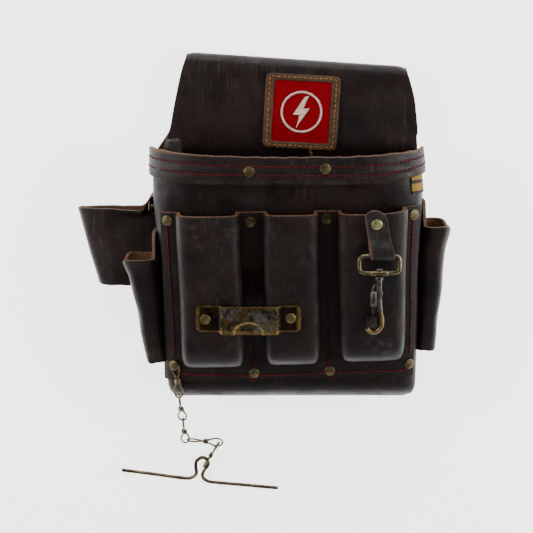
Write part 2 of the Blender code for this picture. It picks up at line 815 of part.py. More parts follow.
def rivet(name, at, axis, grip, burr=True, slot="brass", under=0.0):
    """A domed rivet: at is under its head, grip the thickness it holds, under a free length."""
    head = [(0, RIVET_DOME + under), (RIVET_HEAD * 0.6, RIVET_DOME * 0.85 + under)]
    head += [(RIVET_HEAD, 0.4 + under), (RIVET_HEAD, under), (RIVET_SHANK, under)]
    tail = [(RIVET_SHANK, -grip - GAP)]
    if burr:
        tail += [(3.4, -grip - GAP), (3.4, -grip - 1.3)]
    tail.append((0, -grip - (1.3 if burr else 0.0)))
    return turned(name, head + tail, at, axis, slot)


def make_panel_rivets():
    """Rivets through the moulded panel and the bag's front, and through the rim."""
    cover = SOFT_LEATHER + PANEL_GAP + GAP
    for name, x, y in PANEL_RIVETS:
        normal = front_normal(x, y)
        at = Vector((x, y, front_z(x, y))) + normal * cover
        rivet(name, at, normal, cover + leather_depth(x, y) + BURR_SLACK)
    seat, normal = chain_rivet_seat()
    grip = cover + leather_depth(*CHAIN_RIVET) + BURR_SLACK
    rivet("chain_rivet", seat, normal, grip, under=2 * CHAIN_WIRE + 3 * GAP)
    for side, (x, y) in zip(("left", "right"), RIM_RIVETS):
        normal = front_normal(x, y)
        at = Vector((x, y, front_z(x, y))) + normal * cover
        rivet(f"rim_rivet_{side}", at, normal, cover + leather_depth(x, y) + BURR_SLACK)
    for side, (x, y) in zip(("left", "right"), TUNNEL_RIVETS):
        top = 2 * LEATHER + 2 * GAP
        rivet(f"tunnel_rivet_{side}", (x, y, top), (0, 0, 1), top - GAP, burr=False)
    y, z = LOOP_RIVET
    wall = bag_centre(y) - bag_width(y)
    at = (wall - LOOP_GAP - SOFT_LEATHER - GAP, y, z)
    rivet("loop_rivet", at, (-1, 0, 0), LOOP_GAP + SOFT_LEATHER + GAP + LEATHER + BURR_SLACK)


# ---------------------------------------------------------------- bar clip


def make_bar_clip():
    """A bent strip of metal riveted to two pockets, its raised middle bridging the gap."""
    stations = [CLIP_LEFT[0], CLIP_LEFT[1] - 1.0, CLIP_LEFT[1] + 2.0, -46.0, -20.0]
    stations += [CLIP_RIGHT[0] - 2.0, CLIP_RIGHT[0] + 1.0, CLIP_RIGHT[1]]
    rises = [0.0, 0.0, CLIP_RISE, CLIP_RISE + 0.4, CLIP_RISE + 0.4, CLIP_RISE, 0.0, 0.0]
    grids = ([], [])
    for y in (CLIP_TOP, (CLIP_TOP + CLIP_BOTTOM) / 2, CLIP_BOTTOM):
        for grid, lift in zip(grids, (GAP + CLIP_SHEET, GAP)):
            row = [(x, y, clip_seat(y) + rise + lift) for x, rise in zip(stations, rises)]
            grid.append(row)
    made = sheet("bar_clip", grids[0], grids[1], "clip_metal")
    for side, (x, y) in zip(("left", "right"), CLIP_RIVETS):
        drill(made, (x, y, clip_seat(y)), face_normal(), RIVET_SHANK + GAP, 8.0)
        at = Vector((x, y, clip_seat(y))) + face_normal() * (2 * GAP + CLIP_SHEET)
        rivet(f"clip_rivet_{side}", at, face_normal(), 3 * GAP + CLIP_SHEET + SOFT_LEATHER + 0.3)


def clip_seat(y):
    """Height of the two pockets' faces under the clip."""
    return pocket_face(0.0, y)


# ---------------------------------------------------------------- snap hook


def snap_face(y):
    """Height of the right pocket's face."""
    return pocket_face(SNAP_RIVET[0], y)


def on_snap(x, y, lift):
    """A point above the right pocket's face."""
    return Vector((x, y, snap_face(y) + lift))


def make_strap():
    """A strap folded round the loop's top bar, both ends under one rivet."""
    bar_y = STRAP_END[1]
    bore = SNAP_WIRE + GAP
    path = []
    top = SNAP_RIVET[1] + STRAP_HALF_WIDTH + 1.0
    low_layer = GAP + STRAP_THICK / 2
    high_layer = low_layer + STRAP_THICK + GAP
    for y in (top, SNAP_RIVET[1], bar_y + 12.0, bar_y + 6.0):
        path.append((y, low_layer))
    turn = bore + STRAP_THICK / 2
    for step in range(9):
        angle = -0.5 * math.pi - math.pi * step / 8
        path.append((bar_y + turn * math.cos(angle), BAR_LIFT + turn * math.sin(angle)))
    for y in (bar_y + 6.0, bar_y + 12.0, SNAP_RIVET[1], top):
        path.append((y, high_layer if y > bar_y + 7.0 else high_layer + 1.6))
    outer = []
    inner = []
    for index, (y, lift) in enumerate(path):
        before = path[max(index - 1, 0)]
        after = path[min(index + 1, len(path) - 1)]
        along = Vector((after[0] - before[0], after[1] - before[1])).normalized()
        normal = Vector((along.y, -along.x)) * STRAP_THICK / 2
        centre = mix(SNAP_RIVET[0], STRAP_END[0], (SNAP_RIVET[1] - y) / (SNAP_RIVET[1] - bar_y))
        half = STRAP_HALF_WIDTH * (0.55 if y == top else 1.0)
        rows = ([], [])
        for share in (-1.0, -0.33, 0.33, 1.0):
            x = centre + half * share
            for row, sign in zip(rows, (1, -1)):
                row.append(on_snap(x, y + sign * normal.x, lift + sign * normal.y))
        outer.append(rows[0])
        inner.append(rows[1])
    made = sheet("snap_tab", outer, inner, "leather", pivot=on_snap(*SNAP_RIVET, 0.0))
    drill(made, on_snap(*SNAP_RIVET, 0.0), face_normal(), RIVET_SHANK + GAP, 9.0)
    thick = 2 * STRAP_THICK + 2 * GAP
    at = on_snap(*SNAP_RIVET, 0.0) + face_normal() * (thick + GAP)
    rivet("snap_rivet", at, face_normal(), thick + 2 * GAP + SOFT_LEATHER + 0.3)


def snap_lift(y):
    """How far the loop stands off the pocket's face: level at the hook, lower at the strap."""
    bar_y = STRAP_END[1]
    share = min(max((bar_y - y) / (2 * SNAP_LOOP_HALF[1]), 0.0), 1.0)
    return BAR_LIFT + (SNAP_LIFT - BAR_LIFT) * share


def make_snap_loop():
    """A rounded rectangle of wire; its lower bar is thickened and drilled for the hook's stem."""
    half_x, half_y = SNAP_LOOP_HALF
    middle = STRAP_END[1] - half_y
    corner = 4.5
    outline = [(0.0, half_y), (half_x - corner, half_y)]
    for turn in (0.25, 0.75):
        angle = math.pi / 2 * (1 - turn)
        round_x = half_x - corner + corner * math.cos(angle)
        outline.append((round_x, half_y - corner + corner * math.sin(angle)))
    outline += [(half_x, half_y - corner - 1.0), (half_x, -half_y + corner)]
    outline += [(half_x - corner * 0.3, -half_y + corner * 0.3), (half_x - corner, -half_y), (4.0, -half_y)]
    mirrored = [(-x, y) for x, y in reversed(outline) if x > 0]
    points = outline + [(0.0, -half_y)] + mirrored
    line = []
    across = []
    for x, y in points:
        at = on_snap(STRAP_END[0] - 2.0 + x, middle + y, snap_lift(middle + y))
        line.append(at)
        near = y < -half_y + 0.1 and abs(x) < half_x - corner + 0.1
        across.append((2.4, 3.0) if near else (SNAP_WIRE, SNAP_WIRE))
    pivot = on_snap(*STRAP_END, BAR_LIFT)
    made = tube("snap_loop", line, SNAP_WIRE, "wire", closed=True, pivot=pivot, across=across)
    drill(made, on_snap(SNAP_X, middle - half_y, SNAP_LIFT), (0, -1, -face_slope()), 1.5 + GAP, 6.0)


def make_snap_hook():
    """Headed stem, collar, flat shank and hook in one forging, with a bored guide for the bolt."""
    bar_y = STRAP_END[1] - 2 * SNAP_LOOP_HALF[1]
    stem_top = bar_y + 2.4 + GAP
    pivot = on_snap(SNAP_X, bar_y, SNAP_LIFT)
    axis = Vector((0, 1, face_slope())).normalized()
    reach = (Vector((0, 1, face_slope()))).length
    head = stem_top - bar_y
    collar = -(2.4 + GAP)
    profile = [(0, head + 1.6), (2.3, head + 1.3), (2.8, head + GAP), (1.5, head + GAP), (1.5, collar)]
    profile += [(3.3, collar), (3.3, collar - 3.0), (2.2, collar - 4.2), (0, collar - 4.4)]
    profile = [(radius, height * reach) for radius, height in profile]
    made = turned("snap_hook", profile, pivot, axis, "steel", 14, pivot=pivot)
    way = [(0, -3.4), (0.2, -12), (0.6, -24), (1.6, -33), (3.2, -40), (2.8, -46.5), (-0.8, -51)]
    way += [(-5.6, -51), (-8.6, -47.8)]
    spine = smooth_line([on_snap(SNAP_X + x, bar_y + y, SNAP_LIFT) for x, y in way], 3)
    spine_tube = tube("hook_spine", spine, HOOK_WIRE, "steel", sides=8)
    combine(made, spine_tube, "UNION")
    guide_at = on_snap(GUIDE_X, bar_y - 23.0, SNAP_LIFT)
    barrel = [(0, -5.0), (3.0, -5.0), (3.0, 7.0), (2.2, 8.0), (0, 8.0)]
    guide = turned("hook_guide", barrel, guide_at, axis, "steel", 12)
    combine(made, guide, "UNION")
    bore = [(0, -9.0), (1.6 + GAP, -9.0), (1.6 + GAP, 6.2), (0.9, 6.2), (0.9, 11.0), (0, 11.0)]
    hollow = turned("guide_bore", bore, guide_at, axis, "steel", 12)
    combine(made, hollow, "DIFFERENCE")
    return bar_y, axis


def make_snap_bolt(bar_y, axis):
    """The sprung bolt with its thumb block, and the coil spring behind it in the guide."""
    guide_at = on_snap(GUIDE_X, bar_y - 23.0, SNAP_LIFT)
    rod = [(0, -14.0), (1.6, -14.0), (1.6, -1.0), (0, -1.0)]
    made = turned("snap_bolt", rod, guide_at, axis, "steel", 10, pivot=guide_at)
    block_at = guide_at - axis * 18.5
    turn = Vector((0, 0, 1)).rotation_difference(face_normal()).to_matrix().to_4x4()
    place = Matrix.Translation(block_at) @ turn
    block = plate("bolt_block", [(-5.4, -5), (3.0, -5), (2.4, 4.6), (-4.8, 4.6)], -3.0, 3.2, "steel", place)
    combine(made, block, "UNION")
    coil = []
    turns = 5
    for step in range(turns * 8 + 1):
        angle = math.tau * step / 8
        coil.append((0.9 * math.cos(angle), 0.9 * math.sin(angle), -0.4 + 6.0 * step / (turns * 8)))
    frame = Vector((0, 0, 1)).rotation_difference(axis).to_matrix()
    line = [guide_at + frame @ Vector(point) for point in coil]
    tube("bolt_spring", line, 0.3, "steel", sides=5, pivot=guide_at)


# ---------------------------------------------------------------- chain and toggle bar


def link_line(start, end, tilts, knee=None, flat=(0.0, 0.0, 1.0), hold=0.0, steps=12):
    """A double-loop link's middle line; tilts turn its two loops about the link's length.

    The link may be bent at a knee, its first leg square to flat, and its first loop may reach
    back by hold to go round a rivet.
    """
    start = Vector(start)
    end = Vector(end)
    pull = CHAIN_WIRE + 0.2
    bend = Vector(knee) if knee else (start + end) / 2
    first = start - (bend - start).normalized() * (hold or pull)
    last = end + (end - bend).normalized() * pull
    leg = (bend - first).length
    whole = leg + (last - bend).length
    line = []
    for step in range(2 * steps):
        angle = math.tau * (step + 0.5) / (2 * steps)
        share = (1 - math.cos(angle)) / 2
        on_leg = share * whole < leg
        ends = (first, bend) if on_leg else (bend, last)
        along = (ends[1] - ends[0]).normalized()
        middle = ends[0] + along * (share * whole - (0.0 if on_leg else leg))
        facing = Vector(flat).lerp(Vector((0, 0, 1)), blend(share * whole, leg - 4.0, leg + 8.0))
        side = facing.cross(along).normalized()
        up = along.cross(side)
        local = abs(share - 0.5) * 2
        width = 1.0 + (LINK_HALF_WIDTH - 1.0) * blend(local, 0.12, 0.62)
        spread = width * (1 - local**6) ** 0.5 * math.copysign(1.0, math.sin(angle))
        turn = math.radians(tilts[0] + (tilts[1] - tilts[0]) * blend(share, 0.42, 0.58))
        line.append(middle + (side * math.cos(turn) + up * math.sin(turn)) * spread)
    return line


def chain_rivet_seat():
    """The point under the chain rivet's head, and the way the rivet faces."""
    normal = front_normal(*CHAIN_RIVET)
    return Vector((*CHAIN_RIVET, front_z(*CHAIN_RIVET))) + normal * (SOFT_LEATHER + PANEL_GAP + GAP), normal


def make_chain():
    """Five links from the chain rivet down to the toggle bar; the first is bent over the edge."""
    seat, normal = chain_rivet_seat()
    start = seat + normal * (CHAIN_WIRE + GAP)
    _, end, tilts = CHAIN_LINKS[0]
    down = Vector((end[0] - start.x, end[1] - start.y, 0.0))
    down = (down - normal * down.dot(normal)).normalized()
    line = link_line(start, end, tilts, start + down * CHAIN_KNEE, normal, CHAIN_HOLD)
    tube("chain_link_1", line, CHAIN_WIRE, "wire", closed=True, sides=6, pivot=start)
    for number, (hook, end, tilts) in enumerate(CHAIN_LINKS[1:], 2):
        line = link_line(hook, end, tilts)
        tube(f"chain_link_{number}", line, CHAIN_WIRE, "wire", closed=True, sides=6, pivot=hook)


def make_t_bar():
    """Bent wire toggle with an open eye in its middle."""
    line = smooth_line(T_BAR_POINTS, 3)
    tube("t_bar", line, BAR_WIRE, "wire", sides=8, pivot=T_BAR_POINTS[7])


def main():
    clear_scene()
    make_back_panel()
    make_main_pocket()
    make_rim_band()
    make_pocket_panel()
    make_side_pocket("left_side_pocket", LEFT_TUBE, -1)
    make_side_pocket("right_side_pocket", RIGHT_TUBE, 1)
    make_tool_loop()
    make_inner_tube()
    make_patch()
    make_woven_tab()
    make_panel_rivets()
    make_bar_clip()
    make_strap()
    make_snap_loop()
    bar_y, axis = make_snap_hook()
    make_snap_bolt(bar_y, axis)
    make_chain()
    make_t_bar()


main()
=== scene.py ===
"""How the electrician's tool pouch looks: leather, stitching, fittings, light and camera.

Lengths below are in millimetres unless a name says otherwise; meshes are scaled to metres.
"""

import math

import bmesh
import bpy
from mathutils import Matrix, Vector, noise


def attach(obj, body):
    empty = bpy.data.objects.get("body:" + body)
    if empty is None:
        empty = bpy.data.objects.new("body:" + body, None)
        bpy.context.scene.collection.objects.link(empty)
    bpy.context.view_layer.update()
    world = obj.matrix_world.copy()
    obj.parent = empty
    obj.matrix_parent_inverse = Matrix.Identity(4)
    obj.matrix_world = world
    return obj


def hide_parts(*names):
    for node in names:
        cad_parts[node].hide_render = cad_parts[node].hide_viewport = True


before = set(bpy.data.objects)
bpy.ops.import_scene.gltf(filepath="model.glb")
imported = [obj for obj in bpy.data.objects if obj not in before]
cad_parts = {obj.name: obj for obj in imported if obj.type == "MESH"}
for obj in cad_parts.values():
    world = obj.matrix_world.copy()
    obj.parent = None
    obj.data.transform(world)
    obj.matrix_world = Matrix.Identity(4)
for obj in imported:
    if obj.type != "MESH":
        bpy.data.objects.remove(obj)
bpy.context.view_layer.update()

MM = 0.001

# ---------------------------------------------------------------- driving sizes, as in the CAD

GAP = 0.3
LEATHER = 3.5
SOFT_LEATHER = 3.0
BAG_TOP = 219.0
BAG_REAR = LEATHER + GAP
BAG_WIDTH_TOP = 112.0
BAG_WIDTH_LOW = 107.5
BAG_CORNER = 22.0
BAG_CORNER_IN = 8.0
BAG_DEPTH_LOW = 46.0
BAG_DEPTH_TOP = 80.0
BAG_LEAN = 0.025
BAG_LEAN_START = 3.5
BAG_SQUARE = 9.0
MOUTH_SQUARE = 4.0
MOUTH_BOW_FROM = 172.0
PANEL_EDGES = (
    (0.0, -100.0, 104.0),
    (22.0, -104.5, 111.0),
    (110.0, -108.5, 111.0),
    (212.0, -113.5, 110.5),
    (232.0, -100.0, 109.0),
    (262.0, -93.5, 106.0),
    (291.0, -86.5, 99.5),
)
PANEL_LIP = -6.0
FOLD_Y = 283.0
FOLD_RADIUS = 8.0
FOLD_SLOPE = -0.066
TUNNEL_LOW = 222.0
SEAM_Y = 196.0
FRONT_LAYER_END = 150.0
RIM_LOW = 197.0
RIM_TOP = 221.5
PANEL_LOW = 24.5
PANEL_TOP = 173.5
PANEL_LEFT = -103.0
PANEL_RIGHT = 104.5
PANEL_TILT = 0.02
POCKETS = (  # name, left and right at the top, left and right at the foot, and the foot's height
    ("left", -91.5, -41.0, -89.5, -37.0, 39.0),
    ("centre", -21.5, 22.5, -19.5, 26.5, 40.0),
    ("right", 38.5, 94.0, 43.5, 96.5, 42.0),
)
POCKET_BULGE = 20.0
PANEL_GAP = 0.8
POCKET_CORNER = 26.0
POCKET_NARROW = 7.0
POCKET_SQUARE = 5.0
PANEL_TUCK = 9.0  # the tunnel's front layer is narrower inside the mouth
LEFT_TUBE = {
    "low": 38.0,
    "mouth": 130.0,
    "tab": 153.0,
    "reach": (14.0, 29.0),
    "z_low": (30.0, 52.0),
    "z_top": (33.0, 69.0),
}
RIGHT_TUBE = {
    "low": 46.0,
    "mouth": 157.0,
    "tab": 176.0,
    "reach": (15.0, 23.0),
    "z_low": (16.0, 44.0),
    "z_top": (20.0, 66.0),
}
LOOP_REACH_TOP = 181.0
LOOP_REACH_LOW = 164.0
LOOP_LOW = 99.0
LOOP_TOP = 165.0
LOOP_FLANGE = 180.0
LOOP_GAP = 1.2
INNER_TUBE_AT = (-95.0, 53.5)
INNER_TUBE_SPAN = (150.0, 228.0)
INNER_TUBE_RADIUS = 6.0
INNER_TUBE_WALL = 2.4
PATCH_AT = (10.7, 247.5)
PATCH_SIZE = (62.5, 62.0)
PATCH_WINDOW = (48.6, 52.0)
PATCH_TURN = math.radians(-3.2)
PATCH_THICK = 2.4
RIVET_HEAD = 4.5
RIVET_DOME = 1.1
RIVET_SHANK = 2.0
FRONT_RIVETS = {
    "strip_rivet_left_top": (-32.0, 165.0),
    "strip_rivet_left_low": (-29.5, 30.5),
    "strip_rivet_right_top": (30.0, 167.5),
    "strip_rivet_right_low": (35.0, 32.5),
    "margin_rivet_left_top": (-98.0, 165.5),
    "margin_rivet_right_top": (99.5, 170.0),
    "margin_rivet_right_low": (101.5, 38.0),
    "chain_rivet": (-95.0, 38.0),
    "rim_rivet_left": (-33.0, 207.0),
    "rim_rivet_right": (28.0, 209.5),
}
TUNNEL_RIVETS = ((-60.0, 176.0), (60.0, 176.0))
LOOP_RIVET = (171.0, 43.0)
CLIP_SHEET = 1.4
CLIP_LEFT = (-76.5, -57.0)
CLIP_RIGHT = (-8.5, 9.5)
CLIP_BOTTOM = 73.5
CLIP_TOP = 96.5
CLIP_RISE = 3.0
CLIP_RIVETS = ((-69.0, 85.0), (1.0, 86.0))
SNAP_RIVET = (69.0, 167.5)
STRAP_END = (74.0, 140.5)
STRAP_HALF_WIDTH = 9.0
STRAP_THICK = 2.2
SNAP_WIRE = 1.8
BAR_LIFT = 5.0
SNAP_LIFT = 6.8
SNAP_LOOP_HALF = (16.2, 7.2)
SNAP_X = 72.0
GUIDE_X = SNAP_X - 3.9
CHAIN_WIRE = 0.75
CHAIN_LINKS = (  # start, end and the turns of its two loops in degrees
    (None, (-93.6, 6.5, 47.5), (0, 0)),
    ((-93.6, 6.5, 47.5), (-92.0, -21.0, 26.0), (90, 0)),
    ((-92.0, -21.0, 26.0), (-91.0, -49.0, 4.8), (90, 0)),
    ((-88.8, -46.4, 6.4), (-59.0, -49.5, 4.8), (90, 0)),
    ((-61.5, -50.0, 4.8), (-74.9, -71.5, 4.8), (90, 90)),
)
CHAIN_KNEE = 14.0
CHAIN_HOLD = 3.1
LINK_HALF_WIDTH = 3.7
BAR_WIRE = 1.6
T_BAR_POINTS = (
    (-149.0, -76.5, 2.0),
    (-120.0, -80.2, 2.4),
    (-95.0, -83.4, 3.4),
    (-87.0, -83.2, 3.8),
    (-82.0, -79.0, 4.2),
    (-82.3, -72.0, 4.6),
    (-81.5, -67.0, 4.6),
    (-76.5, -63.6, 4.6),
    (-71.8, -66.0, 4.6),
    (-71.2, -70.8, 4.6),
    (-75.2, -76.5, 4.4),
    (-76.2, -81.8, 4.2),
    (-72.0, -86.2, 3.8),
    (-64.0, -87.8, 3.4),
    (-40.0, -90.4, 2.4),
    (-8.5, -93.6, 2.0),
)
EMBLEM = [(2, 13), (-7, -2), (-1.5, -2), (-3.5, -13), (7, 3), (1.5, 3), (5.5, 13)]
EMBLEM_RING = (15.8, 17.6)
EAR_CORNER = 4.0
CLIP_RELIEF = (-33.5, 12.2, 9.5)  # centre, half width and height of the relief in the lower edge
KNOT_TURNS = 3
KNOT_LENGTH = 4.0
TUFTS = (  # x, height and reach of frayed thread ends
    (-29.8, 24.8, 2.6),
    (35.6, 26.0, 2.4),
    (-32.4, 172.0, 1.8),
    (29.6, 173.5, 1.8),
    (99.0, 168.5, 2.4),
    (-22.0, 27.6, 2.8),
)
HOOK_WAY = (  # the hook's middle line from its bar: x off SNAP_X and y off HOOK_BAR_Y
    (0, -3.4),
    (0.2, -12),
    (0.6, -24),
    (1.6, -33),
    (3.2, -40),
    (2.8, -46.5),
    (-0.8, -51),
    (-5.6, -51),
    (-8.6, -47.8),
)
HOOK_FIN = ((1.4, -9.5), (3.0, -13.0), (4.2, -17.5), (3.6, -21.0))
THUMB_BLOCK = ((-5.4, -5.0), (3.0, -5.0), (2.4, 4.6), (-4.8, 4.6))

FACE_SLOPE = (BAG_DEPTH_TOP - BAG_DEPTH_LOW) / (BAG_TOP - BAG_CORNER)
FACE_NORMAL = Vector((0, -FACE_SLOPE, 1)).normalized()
FACE_UP = Vector((0, 1, FACE_SLOPE)).normalized()
HOOK_BAR_Y = STRAP_END[1] - 2 * SNAP_LOOP_HALF[1]
GUIDE_Y = HOOK_BAR_Y - 23.0

# ---------------------------------------------------------------- sizes of the finer model

MOUTH_DIP = (1.2, 4.0)  # at the rim band's lower and upper edge
MOUTH_ENDS = (3.0, 5.5)  # how far its left and right ends come up
MOUTH_SINK = 8.5
POCKET_COLUMNS = 45
CLIP_BRIDGE = CLIP_RISE + 0.4
CLIP_DROP = 1.2
TAB_LOW = 183.0
TAB_SPAN = (98.2, 107.2)
STITCH_LIFT = 1.9  # of the mark's satin stitches
RIM_STITCH = (4.4, 3.4, 0.56, 0.4)  # pitch, length, half thickness and looseness of each stitch
PANEL_STITCH = (3.7, 2.9, 0.68, 0.6)
PATCH_STITCH = (4.3, 2.6, 0.55, 0.3)
TUNNEL_STITCH = (4.6, 3.2, 0.45, 0.3)
BACK_STITCH = (4.6, 3.2, 0.4, 0.3)
PANEL_SEAMS = {  # x and height along each row
    "strip_stitches_left": ((-32.2, 172.0), (-31.4, 120.0), (-30.4, 70.0), (-29.6, 38.0), (-29.2, 26.0)),
    "strip_stitches_right": ((29.8, 174.0), (31.0, 120.0), (33.0, 70.0), (34.8, 40.0), (35.2, 27.5)),
    "margin_stitches_left": ((-98.4, 160.0), (-97.6, 120.0), (-96.4, 80.0), (-95.4, 46.0)),
    "margin_stitches_right": ((98.8, 166.0), (99.6, 120.0), (100.6, 80.0), (101.2, 44.0)),
    "foot_stitches": ((-92.0, 29.5), (-60.0, 28.6), (-29.0, 28.2), (5.0, 29.3), (35.0, 30.8), (100.0, 33.0)),
}
LOOSE_THREAD = (  # places along the patch's loose end, in the patch's axes
    (9.0, -30.0, 2.2),
    (10.2, -31.6, 2.6),
    (8.6, -33.4, 1.6),
    (11.4, -34.6, 1.8),
    (9.8, -36.6, 0.9),
)
TUNNEL_SEAMS = (183.0, 190.0)
BACK_SEAM_IN = 5.5

TUBE_COLUMNS = 90
LOOP_STEPS = 8
TABLE_GLOW = 2.6
ROOM_LIGHT = 0.10
LAMPS = (  # name, place, size in metres and watts
    ("left_softbox", (-1.35, 0.35, 0.75), (0.9, 0.7), 19.0),
    ("right_softbox", (1.35, 0.25, 0.85), (0.9, 0.7), 22.0),
    ("top_softbox", (-0.1, 1.5, 0.8), (1.3, 0.5), 19.0),
    ("low_softbox", (0.1, -1.3, 0.9), (1.2, 0.5), 4.0),
)
LAMP_AIM = (0.0, 0.1, 0.03)
CAMERA_AT = (-0.0187, 0.3656, 1.1999)
CAMERA_TILT = -12.0
CAMERA_LENS = 94.7
BAG_COLUMNS = 171
PANEL_COLUMNS = 76
RIM_SEAMS = (204.8, 213.6)
SCUFFS = (  # x, height, reach and strength of scuffs on the moulded panel
    (-46.0, 62.0, 7.0, 0.8),
    (78.0, 58.0, 15.0, 0.7),
    (-78.0, 160.0, 14.0, 0.5),
    (14.0, 140.0, 10.0, 0.5),
    (-46.0, 158.0, 6.0, 0.6),
)


# ---------------------------------------------------------------- small tools


def blend(value, low, high):
    """Smooth step from 0 at low to 1 at high."""
    t = min(max((value - low) / (high - low), 0.0), 1.0)
    return t * t * (3 - 2 * t)


def mix(a, b, share):
    return a + (b - a) * share


def power(value, exponent):
    return math.copysign(abs(value) ** exponent, value)


def rounding(height, reach, exponent=2.5):
    """How full a rounded bottom is at a height: 0 at its edge, 1 above its reach."""
    if height >= reach:
        return 1.0
    return (1 - (1 - max(height, 0.0) / reach) ** exponent) ** (1 / exponent)


def wander(x, y, z, size, seed=0.0):
    """A smooth value between about -1 and 1 that changes over a length in millimetres."""
    return noise.noise(Vector((x / size + seed * 7.1, y / size - seed * 3.7, z / size + seed)))


def spread(low, high, count):
    return [low + (high - low) * index / (count - 1) for index in range(count)]


def link(made, body):
    """Show an object and let it ride on a CAD body."""
    bpy.context.scene.collection.objects.link(made)
    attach(made, body)


def replace_node(made, node, body):
    """Show a piece instead of a CAD node, on that node's body."""
    link(made, body)
    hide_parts(node)


def add_thread(made):
    """Show a piece of sewing thread on the pouch."""
    link(made, "pouch")


def make_mesh(name, points, faces, stuff, attributes=None, sharp=35.0):
    """A mesh object from points in millimetres; attributes are one float list per name."""
    work = bmesh.new()
    corners = [work.verts.new(Vector(point) * MM) for point in points]
    for face in faces:
        work.faces.new([corners[index] for index in face])
    bmesh.ops.recalc_face_normals(work, faces=work.faces)
    if work.calc_volume(signed=True) < 0:
        bmesh.ops.reverse_faces(work, faces=work.faces)
    mesh = bpy.data.meshes.new(name)
    work.to_mesh(mesh)
    work.free()
    for key, values in (attributes or {}).items():
        layer = mesh.attributes.new(key, "FLOAT", "POINT")
        layer.data.foreach_set("value", values)
    mesh.shade_smooth()
    mesh.set_sharp_from_angle(angle=math.radians(sharp))
    mesh.materials.append(stuff)
    return bpy.data.objects.new(name, mesh)


def thick_sheet(name, outer, inner, stuff, ring=False, wear=None, cut=None, lip=0.35, raw_inside=0.8):
    """A thick sheet between two grids, with rounded raw edges and attributes for its looks.

    wear(point) and cut(point) give how scuffed and how raw the outside is there; lip is how
    far the cut edges bulge.
    """
    rows = len(outer)
    columns = len(outer[0])
    points = [Vector(p) for row in outer for p in row] + [Vector(p) for row in inner for p in row]
    count = rows * columns
    raw = [cut(p) if cut else 0.0 for p in points[:count]] + [raw_inside] * count
    # On the bar clip, wear gives how raised it is, which its material turns into dark ears, partly painted
    # shade.
    scuff = [wear(p) if wear else 0.0 for p in points[:count]] + [0.0] * count
    last = columns if ring else columns - 1

    def at(row, column):
        return row * columns + column % columns

    faces = []
    for row in range(rows - 1):
        for column in range(last):
            quad = (at(row, column), at(row, column + 1), at(row + 1, column + 1), at(row + 1, column))
            faces.append(quad)
            faces.append(tuple(index + count for index in reversed(quad)))

    def edge(pairs, inward):
        """Close one cut edge through a middle row that bulges away from the sheet."""
        middle = []
        for index, near in pairs:
            away = (points[index] - points[near]) + (points[index + count] - points[near + count])
            away = away.normalized() if away.length > 1e-6 else Vector((0, 0, 0))
            rough = 1 + 0.5 * wander(*points[index], 1.7, 3.0)
            centre = (points[index] + points[index + count]) / 2
            points.append(centre + away * lip * rough)
            raw.append(1.0)
            scuff.append(0.0)
            middle.append(len(points) - 1)
        total = len(pairs)
        for step in range(total if inward else total - 1):
            a, b = pairs[step][0], pairs[(step + 1) % total][0]
            c, d = middle[step], middle[(step + 1) % total]
            faces.append((a, b, d, c))
            faces.append((c, d, b + count, a + count))
        return middle

    ends = []
    for row, next_row in ((0, 1), (rows - 1, rows - 2)):
        pairs = [(at(row, c), at(next_row, c)) for c in range(columns)]
        ends.append(edge(pairs, ring))
    if not ring:
        for column, next_column, end in ((0, 1, 0), (columns - 1, columns - 2, -1)):
            pairs = [(at(r, column), at(r, next_column)) for r in range(rows)]
            side = edge(pairs, False)
            faces.append((pairs[0][0], side[0], ends[0][end]))
            faces.append((pairs[0][0] + count, side[0], ends[0][end]))
            faces.append((pairs[-1][0], side[-1], ends[1][end]))
            faces.append((pairs[-1][0] + count, side[-1], ends[1][end]))
    return make_mesh(name, points, faces, stuff, {"raw": raw, "wear": scuff})


def smooth_line(points, steps):
    """Points on a Catmull-Rom curve through the given ones."""
    given = [Vector(point) for point in points]
    last = len(given) - 1
    line = []
    for span in range(last):
        near, far = given[span], given[span + 1]
        slope_near = (far - given[max(span - 1, 0)]) / 2
        slope_far = (given[min(span + 2, last)] - near) / 2
        for step in range(steps):
            t = step / steps
            line.append(
                near * (2 * t**3 - 3 * t**2 + 1)
                + slope_near * (t**3 - 2 * t**2 + t)
                + far * (3 * t**2 - 2 * t**3)
                + slope_far * (t**3 - t**2)
            )
    line.append(given[-1])
    return line


def sweep(line, sizes, closed=False, sides=12, round_ends=0.0):
    """Points and faces of a tube; sizes gives each point's pair of half sizes (sideways, up)."""
    count = len(line)
    points = []
    faces = []
    side = None
    for index in range(count):
        ahead = line[(index + 1) % count] if closed or index + 1 < count else line[index]
        behind = line[index - 1] if closed or index else line[index]
        along = (ahead - behind).normalized()
        if side is None:
            side = along.cross(Vector((0, 0, 1)))
            side = side if side.length > 0.1 else along.cross(Vector((1, 0, 0)))
        side = (side - along * side.dot(along)).normalized()
        up = side.cross(along)
        wide, tall = sizes[index]
        for corner in range(sides):
            angle = math.tau * (corner + 0.5) / sides
            points.append(line[index] + side * math.cos(angle) * wide + up * math.sin(angle) * tall)
    for index in range(count if closed else count - 1):
        near = index * sides
        far = (index + 1) % count * sides
        for corner in range(sides):
            step = (corner + 1) % sides
            faces.append((near + corner, near + step, far + step, far + corner))
    if not closed:
        for start, point, beyond in ((0, line[0], line[1]), ((count - 1) * sides, line[-1], line[-2])):
            outward = (point - beyond).normalized() * round_ends
            tip = len(points)
            points.append(point + outward)
            for corner in range(sides):
                faces.append((start + corner, start + (corner + 1) % sides, tip))
    return points, faces


def joined(name, parts, stuff, sharp=50.0):
    """Several closed shapes, given as (points, faces), in one mesh object."""
    points = []
    faces = []
    for some_points, some_faces in parts:
        base = len(points)
        points += some_points
        faces += [tuple(index + base for index in face) for face in some_faces]
    return make_mesh(name, points, faces, stuff, sharp=sharp)


